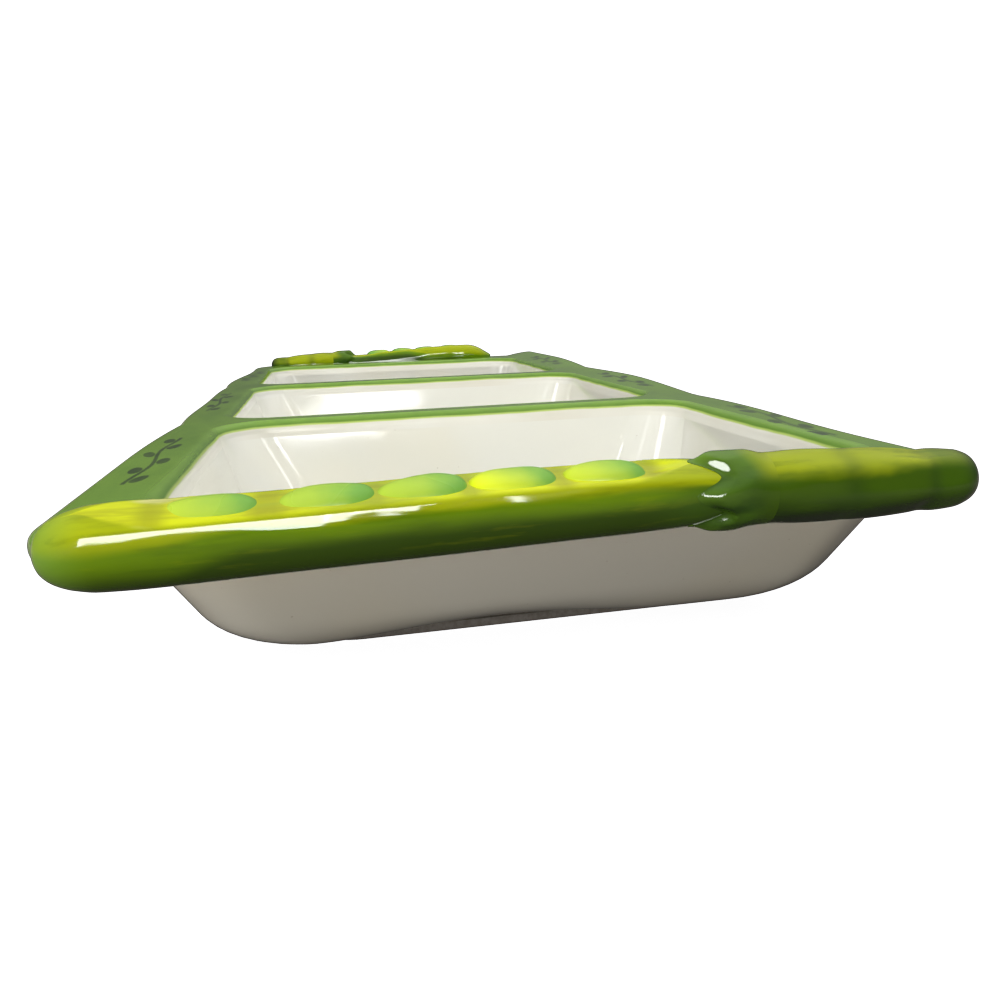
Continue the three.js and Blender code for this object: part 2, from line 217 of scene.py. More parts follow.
class GlazeColours(bpy.types.PropertyGroup):
    """Colours of the glazes and the clay."""

    white: colour("White", "White glaze", 240, 239, 229)
    clay: colour("Clay", "Bare clay of the foot", 214, 203, 184)
    green: colour("Green", "Green of the rim", 120, 158, 52)
    green_dark: colour("Green dark", "Green where it lies thick", 88, 130, 42)
    sprig: colour("Sprig", "Painted sprig on the rim", 52, 74, 34)
    lime: colour("Lime", "Thin edge of the green", 190, 212, 110)
    pod_top: colour("Pod top", "Pod skin under the lips", 164, 176, 8)
    pod_side: colour("Pod side", "Pod skin on its side", 104, 138, 4)
    pod_streaks_and_shade: colour("Pod low", "Pod skin underneath", 54, 78, 14)
    lining: colour("Lining", "Lining of the slit", 208, 216, 16)
    lining_dark: colour("Lining dark", "Lining between the peas", 156, 160, 22)
    pea: colour("Pea", "Pea", 164, 197, 62)
    pea_shade: colour("Pea shade", "Shaded side of a pea", 118, 175, 66)
    pea_yellow: colour("Pea yellow", "Yellow blush of a pea", 222, 236, 14)
    calyx: colour("Calyx", "Calyx", 66, 100, 22)
    calyx_ridges_and_light: colour("Calyx light", "Ridges of the calyx", 104, 140, 40)
    stem_top: colour("Stem top", "Top of the stem", 152, 164, 2)
    stem_side: colour("Stem side", "Side of the stem", 64, 94, 4)
    stem_end: colour("Stem end", "Cut end of the stem", 34, 52, 22)


class StageSettings(bpy.types.PropertyGroup):
    """Camera and light."""

    focal: number("Focal length", "Lens in millimetres", 29.14)
    window_power: power("Window power", "Power of the window light", 12.0)
    ceiling_power: power("Ceiling power", "Power of the soft light overhead", 20.0)
    fill_power: power("Fill power", "Power of the low light on the left", 1.3)
    room: number("Room", "Light of the room itself", 0.3)
    floor: colour("Floor", "Pale floor", 66, 62, 57)


# Shaping with bmesh

def edges_of(bm, ring):
    """The edges of a closed ring of points."""
    return [bm.edges.get((a, b)) for a, b in zip(ring, ring[1:] + ring[:1])]


def start_ring(bm, points):
    """A closed ring of edges through the points."""
    ring = [bm.verts.new(point) for point in points]
    for a, b in zip(ring, ring[1:] + ring[:1]):
        bm.edges.new((a, b))
    return ring


def next_ring(bm, ring, points):
    """Extrudes a ring and sets the new one on the points."""
    grown = bmesh.ops.extrude_edge_only(bm, edges=edges_of(bm, ring))["geom"]
    fresh = {part for part in grown if isinstance(part, bmesh.types.BMVert)}
    moved = []
    for vert, point in zip(ring, points):
        twin = next(e.other_vert(vert) for e in vert.link_edges if e.other_vert(vert) in fresh)
        twin.co = point
        moved.append(twin)
    return moved


def loft(bm, sections):
    """Rings through the sections, joined by faces. Gives back the rings."""
    rings = [start_ring(bm, sections[0])]
    for section in sections[1:]:
        rings.append(next_ring(bm, rings[-1], section))
    return rings


def cap(bm, ring):
    """Closes a ring with a flat face."""
    bmesh.ops.edgeloop_fill(bm, edges=edges_of(bm, ring))


def capped_loft(bm, sections):
    """A loft that is closed with a flat face at both ends."""
    rings = loft(bm, sections)
    cap(bm, rings[0])
    cap(bm, rings[-1])
    return rings


def hollow_loft(bm, sections):
    """A loft whose last ring is joined to its first, as in a tube."""
    rings = loft(bm, sections)
    bmesh.ops.bridge_loops(bm, edges=edges_of(bm, rings[0]) + edges_of(bm, rings[-1]))
    return rings


def pole(bm, ring):
    """Closes a small ring in one point."""
    middle = sum((v.co for v in ring), Vector()) / len(ring)
    bmesh.ops.pointmerge(bm, verts=ring, merge_co=middle)


def layers_of(bm, *names):
    """New layers of values on the points, which the glazes read by name."""
    return [bm.verts.layers.float.new(name) for name in names]


def new_object(name, data):
    """An object in the scene that holds a mesh, a light or a camera."""
    thing = bpy.data.objects.new(name, data)
    bpy.context.scene.collection.objects.link(thing)
    return thing


def piece_from(bm, name, material, slot, *nodes):
    """Turns a bmesh into a finished piece that rides on the body and stands for CAD nodes."""
    bmesh.ops.recalc_face_normals(bm, faces=bm.faces)
    for face in bm.faces:
        face.smooth = True
    for edge in bm.edges:
        if len(edge.link_faces) == 2 and edge.calc_face_angle() > SHARP_EDGE:
            edge.smooth = False
    mesh = bpy.data.meshes.new(name)
    bm.to_mesh(mesh)
    bm.free()
    mesh.materials.append(material)
    piece = new_object(name, mesh)
    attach(piece, BODY)
    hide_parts(*nodes)
    return piece


# Curves through rows of values

def smooth_value(rows, x):
    """The value at x of a smooth curve through [x, value] rows, which doesn't overshoot them."""
    if x <= rows[0][0]:
        return rows[0][1]
    if x >= rows[-1][0]:
        return rows[-1][1]
    slopes = [(b[1] - a[1]) / (b[0] - a[0]) for a, b in zip(rows, rows[1:])]
    tangents = [slopes[0]]
    for before, after in zip(slopes, slopes[1:]):
        tangents.append(2 * before * after / (before + after) if before * after > 0 else 0.0)
    tangents.append(slopes[-1])
    i = next(k for k in range(len(slopes)) if x <= rows[k + 1][0])
    step = rows[i + 1][0] - rows[i][0]
    t = (x - rows[i][0]) / step
    return (
        (2 * t ** 3 - 3 * t ** 2 + 1) * rows[i][1]
        + (t ** 3 - 2 * t ** 2 + t) * step * tangents[i]
        + (3 * t ** 2 - 2 * t ** 3) * rows[i + 1][1]
        + (t ** 3 - t ** 2) * step * tangents[i + 1]
    )


def ease(low, high, x):
    """0 below low, 1 above high, and smooth between."""
    t = min(max((x - low) / (high - low), 0.0), 1.0)
    return t * t * (3 - 2 * t)


def wander(x, y, seed):
    """Smooth noise from -1 to 1."""
    return noise.noise(Vector((x, y, seed)))


def half_turn(turn):
    """The same angle between minus and plus half a turn."""
    return (turn + math.pi) % (2 * math.pi) - math.pi


# Outlines of the tray

def pitch_of(t):
    """Distance from one well to the next."""
    return t.throat_length + t.divider


def row_length(t):
    """Length of the row of wells under their lips."""
    return t.wells * t.throat_length + (t.wells - 1) * t.divider


def well_centre(t, i):
    """Place of a well along the row."""
    return (i - (t.wells - 1) / 2) * pitch_of(t)


def corner_radius(t, out):
    """Corner radius of a well's outline that is moved outwards from the throat."""
    return t.corner + out if out > 0 else t.corner - t.corner_growth * out


def seam_height(t):
    """Height of the underside of the rim."""
    return t.rim_height - t.rim_thickness


def arc(x, y, radius, start, stop):
    """Points on the arc of a corner, from one angle to another."""
    turns = [start + (stop - start) * k / CORNER_STEPS for k in range(CORNER_STEPS + 1)]
    return [(x + radius * math.cos(turn), y + radius * math.sin(turn)) for turn in turns]


def rounded_rectangle(half_x, half_y, radius, z, centre_y=0.0):
    """A level rectangle with rounded corners, counterclockwise from above."""
    points = []
    for quarter, (side_x, side_y) in enumerate(((1, 1), (-1, 1), (-1, -1), (1, -1))):
        corner_x = side_x * (half_x - radius)
        corner_y = centre_y + side_y * (half_y - radius)
        points += arc(corner_x, corner_y, radius, quarter * QUARTER, (quarter + 1) * QUARTER)
    return [Vector((x, y, z)) for x, y in points]


def wall_rows(t, outwards, top, draft, radius, floor, seam_out):
    """Rows of [outwards, height] up a leaning wall, from its floor to the underside of the rim."""
    centre_z = floor + radius
    centre_out = outwards - (radius + (top - centre_z) * math.sin(draft)) / math.cos(draft)
    rows = []
    for k in range(FILLET_STEPS + 1):
        turn = QUARTER + (draft - QUARTER) * k / FILLET_STEPS
        rows.append((centre_out + radius * math.cos(turn), centre_z - radius * math.sin(turn)))
    foot_out, foot_z = rows[-1]
    for part in WALL_SHARES:
        rows.append((foot_out + (seam_out - foot_out) * part, foot_z + (seam_height(t) - foot_z) * part))
    return rows


def well_rows(t):
    """Rows up the wall of a well."""
    throat = t.rim_height - t.lip
    seam_out = -(throat - seam_height(t)) * math.tan(t.well_draft)
    return wall_rows(t, 0.0, throat, t.well_draft, t.well_fillet, t.foot_height + t.floor, seam_out)


def basin_rows(t):
    """Rows up the outer wall of the basin."""
    return wall_rows(
        t, t.wall_top, seam_height(t), t.basin_draft, t.basin_fillet, t.foot_height, t.wall_top)


def lip_rows(t):
    """Rows over the rounded lip of a well, from the underside of the rim to its flat top."""
    throat = t.rim_height - t.lip
    low = math.sin(LIP_START)
    rows = [well_rows(t)[-1], (-LIP_SUPPORT * math.tan(t.well_draft), throat - LIP_SUPPORT)]
    for k in range(LIP_STEPS + 1):
        turn = LIP_START + k / LIP_STEPS * (QUARTER - LIP_START)
        rise = (math.sin(turn) - low) / (1 - low)
        rows.append((t.lip * (math.cos(LIP_START) - math.cos(turn)), throat + t.lip * rise))
    rows.append((t.lip + LIP_BAND, t.rim_height))
    return rows


def flange_outline(t):
    """The lobed outline of the flange, counterclockwise from above."""
    crest = t.throat_width / 2 + t.side_flange
    end = row_length(t) / 2 + t.end_flange
    pitch = pitch_of(t)
    low = -end + t.stem_corner
    high = end - t.tip_corner
    half = arc(crest - t.sweep - t.stem_corner, low, t.stem_corner, -QUARTER, 0)[:-1]
    steps = LOBE_STEPS * t.wells
    for k in range(steps + 1):
        y = low + (high - low) * k / steps
        i = min(max(round((y - well_centre(t, 0)) / pitch), 0), t.wells - 1)
        across = 2 * (y - well_centre(t, i)) / pitch
        if (i == 0 and across < 0) or (i == t.wells - 1 and across > 0):
            across = 0.0
        drawn = t.sweep * ease(0.55 * pitch, 1.3 * pitch, -y)
        half.append((crest - t.notch * across ** 2 - drawn, y))
    half += arc(crest - t.tip_corner, high, t.tip_corner, 0, QUARTER)[1:]
    other = []
    for x, y in half:
        flatter = t.flat_lobe * math.cos(math.pi * y / pitch) ** 2 if abs(y) < pitch / 2 else 0.0
        other.append((flatter - x, -y))
    return half + other


def flange_lift(t, x, y):
    """How far the warped long edge stands above the level of the rim."""
    lip = t.throat_width / 2 + t.lip
    outer = max(x - lip, 0.0) / (t.side_flange - t.lip)
    pitch = pitch_of(t)
    near_rise = 0.55 * ease(-0.55 * pitch, 0.1 * pitch, y)
    far_rise = 0.45 * ease(0.3 * pitch, 1.1 * pitch, y)
    return t.upturn * outer * (near_rise + far_rise)


def flange_ring(outline, outwards, z):
    """The outline moved outwards, at a height."""
    points = []
    for i, (x, y) in enumerate(outline):
        before = Vector(outline[i - 1])
        after = Vector(outline[(i + 1) % len(outline)])
        here = Vector((x, y))
        along = ((here - before).normalized() + (after - here).normalized()).normalized()
        points.append(Vector((x + along.y * outwards, y - along.x * outwards, z)))
    return points


# Material helpers

class Nodes:
    """A node tree that is put together step by step."""

    def __init__(self, tree):
        self.tree = tree
        tree.nodes.clear()

    def add(self, kind):
        return self.tree.nodes.new("ShaderNode" + kind)

    def put(self, socket, value):
        """Links a node's output to a socket, or sets a plain value or colour on it."""
        if isinstance(value, bpy.types.NodeSocket):
            self.tree.links.new(value, socket)
        elif socket.type == "RGBA":
            socket.default_value = (*value, 1)
        else:
            socket.default_value = value

    def blend(self, amount, first, second):
        """A colour between two others."""
        node = self.add("Mix")
        node.data_type = "RGBA"
        for i, value in ((0, amount), (6, first), (7, second)):
            self.put(node.inputs[i], value)
        return node.outputs[2]

    def figure(self, operation, first, second=0.0):
        node = self.add("Math")
        node.operation = operation
        self.put(node.inputs[0], first)
        self.put(node.inputs[1], second)
        return node.outputs[0]

    def plus(self, first, second):
        return self.figure("ADD", first, second)

    def minus(self, first, second):
        return self.figure("SUBTRACT", first, second)

    def times(self, first, second):
        return self.figure("MULTIPLY", first, second)

    def larger(self, first, second):
        return self.figure("MAXIMUM", first, second)

    def span(self, value, low, high, to_low=0.0, to_high=1.0):
        """A value moved smoothly from one range to another."""
        node = self.add("MapRange")
        node.interpolation_type = "SMOOTHSTEP"
        names = ("Value", "From Min", "From Max", "To Min", "To Max")
        for name, setting in zip(names, (value, low, high, to_low, to_high)):
            self.put(node.inputs[name], setting)
        return node.outputs["Result"]

    def axes(self, source="Object"):
        """The three coordinates of a point."""
        parts = self.add("SeparateXYZ")
        self.put(parts.inputs[0], self.add("TexCoord").outputs[source])
        return parts.outputs

    def speckle(self, scale, detail=3.0, rough=0.5, stretch=(1, 1, 1)):
        """Noise on object coordinates, drawn out along the axes whose share is small."""
        mapping = self.add("Mapping")
        mapping.inputs["Scale"].default_value = stretch
        self.put(mapping.inputs["Vector"], self.add("TexCoord").outputs["Object"])
        node = self.add("TexNoise")
        self.put(node.inputs["Vector"], mapping.outputs["Vector"])
        for name, value in (("Scale", scale), ("Detail", detail), ("Roughness", rough)):
            node.inputs[name].default_value = value
        return node.outputs["Fac"]

    def painted(self, name):
        """A value that the piece's own mesh carries."""
        node = self.add("Attribute")
        node.attribute_name = name
        return node.outputs["Fac"]


class Paint(Nodes):
    """A material with one shader on its output."""

    def __init__(self, name):
        self.material = bpy.data.materials.new(name)
        self.material.use_nodes = True
        super().__init__(self.material.node_tree)
        output = self.add("OutputMaterial")
        self.shader = self.add("BsdfPrincipled")
        self.put(output.inputs["Surface"], self.shader.outputs["BSDF"])

    def shade(self, name, value):
        """Sets or links one of the shader's inputs."""
        self.put(self.shader.inputs[name], value)

    def bump(self, height, distance):
        """Waves or grain in the surface."""
        node = self.add("Bump")
        node.inputs["Strength"].default_value = 1.0
        node.inputs["Distance"].default_value = distance
        self.put(node.inputs["Height"], height)
        self.shade("Normal", node.outputs["Normal"])

    def glaze(self, base, low, high, wave, wave_scale, coat=0.0, ior=1.5):
        """A glossy glaze over a colour, with the slight waves and uneven gloss of a hand-dipped one."""
        self.shade("Base Color", base)
        self.shade("Roughness", self.span(self.speckle(45.0, 2.0), 0.35, 0.7, low, high))
        self.shade("IOR", ior)
        self.shade("Coat Weight", coat)
        self.shade("Coat Roughness", 0.04)
        self.bump(self.speckle(wave_scale, 2.0), wave)
        return self.material


def tinted(colour_value, tint):
    """A colour with each of its parts times a share."""
    return tuple(part * by for part, by in zip(colour_value, tint))


# Materials

def white_glaze(c):
    """Off-white glaze with soft warm and cool clouds and a few fine iron specks."""
    p = Paint("basin_white")
    clouds = p.speckle(18.0, 2.0)
    warm = tinted(c.white, (0.99, 0.965, 0.90))
    cool = tinted(c.white, (0.955, 0.965, 0.955))
    base = p.blend(p.span(clouds, 0.3, 0.7), warm, cool)
    base = p.blend(p.span(clouds, 0.42, 0.6, 0.25, 0.75), base, c.white)
    specks = p.span(p.speckle(900.0, 1.0), 0.78, 0.83, 0.0, 0.35)
    base = p.blend(specks, base, linear(168, 156, 132))
    return p.glaze(base, low=0.05, high=0.11, wave=0.05 * MM, wave_scale=55.0, coat=0.35)


def sprig(p, t):
    """Where a small painted sprig lies on the flange beside each well: a wavy stalk with leaves."""
    x, y = p.axes()[:2]
    pitch = pitch_of(t)
    moved = p.plus(y, t.wells / 2 * pitch)
    u = p.minus(p.figure("FLOORED_MODULO", moved, pitch), pitch / 2)
    to_stem = p.times(p.figure("SIGN", x), p.times(y, -1.0))
    tuck = p.span(to_stem, pitch - 25 * MM, pitch + 30 * MM, 0.0, SPRIG_TUCK)
    middle = t.throat_width / 2 + SPRIG_PLACE * t.side_flange
    v = p.minus(p.plus(p.figure("ABSOLUTE", x), tuck), middle)
    wave = p.times(p.figure("SINE", p.times(u, STALK_WAVES)), STALK_WAVE)
    off = p.minus(v, wave)
    stalk = p.span(p.figure("ABSOLUTE", off), STALK_HALF, STALK_HALF + STALK_FADE, 1.0, 0.0)
    side = p.figure("SIGN", p.figure("SINE", p.times(u, math.pi / LEAF_STEP)))
    leaf_u = p.minus(p.figure("FLOORED_MODULO", u, LEAF_STEP), LEAF_STEP / 2)
    leaf_v = p.minus(p.times(off, side), LEAF_OFF)
    slant = p.minus(leaf_u, p.times(leaf_v, LEAF_SLANT))
    long_part = p.figure("POWER", p.figure("DIVIDE", slant, LEAF_HALF_LENGTH), 2.0)
    wide_part = p.figure("POWER", p.figure("DIVIDE", leaf_v, LEAF_HALF_WIDTH), 2.0)
    leaf = p.span(p.plus(long_part, wide_part), 0.75, 1.1, 1.0, 0.0)
    ends = p.span(p.figure("ABSOLUTE", u), SPRIG_HALF, SPRIG_HALF + SPRIG_FADE, 1.0, 0.0)
    return p.times(p.larger(stalk, leaf), ends)


def rim_glaze(c, t):
    """Green brushed over white, with a wandering lower edge that thins to lime."""
    p = Paint("rim_glaze")
    level = p.painted("level")
    outer = p.span(p.painted("outside"), 0.6, 0.9)
    top = t.rim_height
    line = top - t.paint_line
    wobble = p.span(p.speckle(40.0, 2.0), 0.3, 0.7, -0.18 * MM, 0.18 * MM)
    height = p.plus(level, wobble)
    strokes = p.speckle(160.0, 4.0, 0.6, stretch=(1.0, 0.35, 1.0))
    clouds = p.speckle(26.0, 2.0)
    green = p.blend(p.span(strokes, 0.3, 0.75, 0.0, 0.45), c.green, c.green_dark)
    green = p.blend(p.span(clouds, 0.35, 0.7, 0.0, 0.3), green, linear(132, 172, 70))
    # Darker green down the rounded lip of each well
    green = p.blend(p.span(height, top - 1.6 * MM, top - 0.25 * MM, 0.62, 0.0), green, c.green_dark)
    brush = p.span(strokes, 0.3, 0.6, 0.7, 0.95)
    on_top = p.span(level, top - 0.2 * MM, top - 0.05 * MM)
    green = p.blend(p.times(p.times(sprig(p, t), brush), on_top), green, c.sprig)
    edge = p.larger(p.span(height, line, line + 0.55 * MM), outer)
    base = p.blend(edge, c.lime, green)
    white = p.blend(p.span(clouds, 0.3, 0.7), c.white, linear(233, 230, 216))
    inside = p.larger(p.span(height, line - 0.45 * MM, line), outer)
    under = p.times(inside, p.span(level, seam_height(t), seam_height(t) + 0.6 * MM))
    base = p.blend(under, white, base)
    return p.glaze(base, low=0.07, high=0.16, wave=0.07 * MM, wave_scale=60.0, coat=0.15)


def clay(c):
    """Bare fired clay, wiped clean of glaze."""
    p = Paint("foot_clay")
    grain = p.speckle(700.0, 5.0, 0.65)
    p.shade("Base Color", p.blend(p.span(grain, 0.3, 0.7), c.clay, linear(188, 172, 148)))
    p.shade("Roughness", p.span(grain, 0.3, 0.7, 0.7, 0.92))
    p.bump(grain, 0.1 * MM)
    return p.material


def pod_glaze(c):
    """Pod skin brushed lengthwise, yellow-green at the lips, with painted shade that darkens it to dark green
    below and on its inner side, and a yellow lining.
    """
    p = Paint("pod_brushwork")
    along = p.painted("along")
    streaks = p.speckle(420.0, 4.0, 0.6, stretch=(0.12, 1.0, 1.0))
    broad = p.speckle(130.0, stretch=(0.3, 1.0, 1.0))

    # The skin: yellow-green under the lips, and painted shade below, darker and stronger past the first third
    # of the pod
    level = p.plus(p.painted("lift"), p.times(p.minus(broad, 0.5), 0.5))
    steep = p.span(along, 0.17, 0.31)
    level = p.times(level, p.plus(p.times(steep, 0.9), 1.0))
    level = p.minus(level, p.times(steep, 0.45))
    skin = p.blend(p.span(level, -0.95, 0.1), c.pod_streaks_and_shade, c.pod_side)
    skin = p.blend(p.span(level, 0.06, 0.44), skin, c.pod_top)
    skin = p.blend(p.span(streaks, 0.48, 0.72, 0.0, 0.3), skin, c.pod_streaks_and_shade)
    skin = p.blend(p.span(streaks, 0.28, 0.42, 0.16, 0.0), skin, c.pod_top)
    skin = p.blend(p.span(along, 0.0, 0.09, 0.7, 0.0), skin, linear(112, 152, 58))
    sheath = p.times(p.span(along, 0.84, 0.96, 0.0, 0.7), p.span(level, 0.2, 0.5, 1.0, 0.0))
    skin = p.blend(sheath, skin, c.calyx)

    # The lining of the slit
    lining = p.blend(p.span(streaks, 0.42, 0.7, 0.0, 0.7), c.lining, c.lining_dark)
    lining = p.blend(p.times(p.painted("between"), 0.75), lining, c.lining_dark)
    # A painted highlight: a pale streak on the lining a little way in from the tip
    stretch = p.times(p.span(along, 0.12, 0.15), p.span(along, 0.17, 0.22, 1.0, 0.0))
    pale = p.times(stretch, p.span(broad, 0.42, 0.54, 0.0, 0.85))
    lining = p.blend(pale, lining, linear(242, 240, 160))
    lining = p.blend(p.span(broad, 0.5, 0.64, 0.0, 0.5), lining, linear(148, 166, 44))

    edge = p.plus(p.painted("slit"), p.span(along, 0.04, 0.1, 0.7, 0.0))
    base = p.blend(p.span(edge, 0.82, 1.12), lining, skin)
    return p.glaze(base, low=0.05, high=0.10, wave=0.03 * MM, wave_scale=90.0, ior=1.40)


def pea_glaze(c):
    """Lime pea with painted shade that turns its far end a bluer green, and a yellow blush at its near one.
    """
    p = Paint("pea_brushwork")
    # Painted shade: the pea darkens to a bluer green along its length towards its far end, with a little
    # noise
    shade = p.plus(p.painted("along"), p.times(p.minus(p.speckle(260.0), 0.5), 0.8))
    base = p.blend(p.span(shade, -0.35, 0.8), c.pea, c.pea_shade)
    base = p.blend(p.painted("blush"), base, c.pea_yellow)
    return p.glaze(base, low=0.25, high=0.36, wave=0.04 * MM, wave_scale=150.0, ior=1.40)


def calyx_glaze(c):
    """Dark green calyx, lighter along its sepals' ridges, with painted light on its top, turning into the
    stalk's colours towards its back.
    """
    p = Paint("sepal_brushwork")
    lift = p.painted("lift")
    strokes = p.speckle(300.0, 4.0, stretch=(0.3, 1.0, 1.0))
    base = p.blend(p.span(strokes, 0.3, 0.75), c.calyx, linear(34, 62, 16))
    # Painted light: the calyx is lighter where it faces upwards
    base = p.blend(p.span(lift, 0.1, 1.0, 0.0, 0.45), base, c.calyx_ridges_and_light)
    base = p.blend(p.times(p.painted("ridge"), 0.35), base, c.calyx_ridges_and_light)
    # The stalk's yellow-green top and green side, set by how far up the skin faces
    stalk = p.blend(p.span(lift, 0.3, 0.75), c.stem_side, c.stem_top)
    base = p.blend(p.span(p.painted("along"), 0.5, 1.0, 0.0, 0.95), base, stalk)
    return p.glaze(base, low=0.06, high=0.12, wave=0.08 * MM, wave_scale=150.0, ior=1.42)


def stem_glaze(c):
    """Stem brushed yellow-green on top and green below, with painted shade that goes near black underneath
    and in its rings, and darker at its cut end.
    """
    p = Paint("stalk_brushwork")
    along = p.painted("along")
    streaks = p.speckle(380.0, 4.0, 0.6, stretch=(0.16, 1.0, 1.0))
    broad = p.speckle(120.0, stretch=(0.5, 1.0, 1.0))
    level = p.plus(p.painted("lift"), p.times(p.minus(broad, 0.5), 0.8))
    # Painted shade: the stem's underside goes from green to near black
    base = p.blend(p.span(level, -0.9, 0.2), c.stem_end, c.stem_side)
    level = p.minus(level, p.span(along, 0.25, 0.7, 0.0, 0.22))
    base = p.blend(p.span(level, 0.3, 0.75), base, c.stem_top)
    base = p.blend(p.span(along, 0.72, 0.8, 0.0, 0.65), base, linear(60, 92, 6))
    base = p.blend(p.span(streaks, 0.5, 0.72, 0.0, 0.4), base, c.stem_side)
    # Painted shade in the stem's two constrictions
    base = p.blend(p.painted("rings"), base, linear(48, 74, 16))
    base = p.blend(p.span(along, 0.86, 1.0, 0.0, 0.9), base, c.stem_end)
    return p.glaze(base, low=0.12, high=0.22, wave=0.06 * MM, wave_scale=140.0, ior=1.38)


def floor_paper(paper):
    """Pale paper for the floor, with a faint tooth, and a painted shadow that darkens it under and close to
    the tray.
    """
    p = Paint("floor_paper")
    base = p.blend(p.span(p.speckle(30.0, 4.0), 0.3, 0.7), paper, tinted(paper, (0.985, 0.985, 0.985)))
    x, y = p.axes()[:2]
    # Painted shadow: nine tenths of the way to black under the tray, fading out over 160 mm round it
    beside = p.minus(p.figure("ABSOLUTE", x), 60 * MM)
    beyond = p.minus(p.figure("ABSOLUTE", y), 165 * MM)
    near = p.span(p.larger(beside, beyond), 0.0, 160 * MM, 0.9, 0.0)
    p.shade("Base Color", p.blend(near, base, (0.0, 0.0, 0.0)))
    p.shade("Roughness", 0.9)
    p.shade("Specular IOR Level", 0.1)
    return p.material


def material_of(name, maker, *settings):
    """A material by name, made the first time that it is asked for."""
    found = bpy.data.materials.get(name)
    return found if found else maker(*settings)


# Operators for the tray

def arch_front(bm, t, outer_rings, inner_rings):
    """Cuts the basin's long front edges finely and lifts the lower ones into a shallow arch."""
    shell = {vert for ring in outer_rings for vert in ring}
    hollow = {vert for ring in inner_rings for vert in ring}
    long_edges = []
    for edge in bm.edges:
        first, second = edge.verts
        front = first.co.y < 0 and second.co.y < 0
        long = abs(first.co.x - second.co.x) > t.throat_width / 4
        if front and long and first in shell and second in shell:
            long_edges.append(edge)
    bmesh.ops.subdivide_edges(bm, edges=long_edges, cuts=ARCH_CUTS, use_grid_fill=True)
    front_y = -0.3 * row_length(t)
    for vert in bm.verts:
        across = abs(vert.co.x - t.arch_middle) / t.arch_half
        lower_front = vert.co.y < front_y and vert.co.z < t.arch_top
        if lower_front and across < 1 and vert not in hollow:
            low = 1 - ease(t.foot_height, t.arch_top, vert.co.z)
            vert.co.z += t.arch_rise * math.cos(across * QUARTER) ** 2 * low


class PLATTER_OT_basin(bpy.types.Operator):
    """Adds the tapered basin with the long hollow of the wells"""

    bl_idname = "platter.basin"
    bl_label = "Basin"

    def execute(self, context):
        t = context.scene.platter_tray
        outer = basin_rows(t)
        inner = well_rows(t)

        def section(out, z, corner):
            return rounded_rectangle(t.throat_width / 2 + out, row_length(t) / 2 + out, corner, z)

        base_out, base_z = outer[0]
        floor_out, floor_z = inner[0]
        floor_corner = corner_radius(t, floor_out)
        sections = [section(base_out - FLAT_BAND, base_z, t.basin_corner - FLAT_BAND)]
        sections += [section(out, z, t.basin_corner) for out, z in outer]
        sections += [section(out, z, corner_radius(t, out)) for out, z in reversed(inner)]
        sections.append(section(floor_out - FLAT_BAND, floor_z, floor_corner - FLAT_BAND))
        bm = bmesh.new()
        rings = capped_loft(bm, sections)
        seam = len(outer) + 1
        arch_front(bm, t, rings[:seam], rings[seam:])
        material = material_of("basin_white", white_glaze, context.scene.platter_glaze)
        piece_from(bm, "basin", material, "white_glaze", "tray_basin")
        return {"FINISHED"}


def divider_section(t, i, out, z):
    """A level section through the divider before well i, with its ends let into the side walls."""
    half_x = t.throat_width / 2 + out
    radius = corner_radius(t, out)
    near_y = well_centre(t, i - 1) + t.throat_length / 2 + out
    far_y = well_centre(t, i) - t.throat_length / 2 - out
    corner_y = near_y - radius
    end_x = half_x + DIVIDER_SINK
    front = [(-end_x, corner_y - DIVIDER_RUN)]
    front += arc(-half_x + radius, corner_y, radius, math.pi, QUARTER)
    front += arc(half_x - radius, corner_y, radius, QUARTER, 0)
    front.append((end_x, corner_y - DIVIDER_RUN))
    back = [(x, near_y + far_y - y) for x, y in reversed(front)]
    return [Vector((x, y, z)) for x, y in front + back]


class PLATTER_OT_dividers(bpy.types.Operator):
    """Adds the walls between the wells, filleted into the side walls and the floor"""

    bl_idname = "platter.dividers"
    bl_label = "Dividers"

    def execute(self, context):
        t = context.scene.platter_tray
        rows = well_rows(t)
        floor_out, floor_z = rows[0]
        rows.insert(0, (floor_out, floor_z - DIVIDER_DROP))
        material = material_of("basin_white", white_glaze, context.scene.platter_glaze)
        for i in range(1, t.wells):
            bm = bmesh.new()
            capped_loft(bm, [divider_section(t, i, out, z) for out, z in rows])
            piece_from(bm, f"divider_wall_{i}", material, "white_glaze", f"divider_{i}")
        return {"FINISHED"}


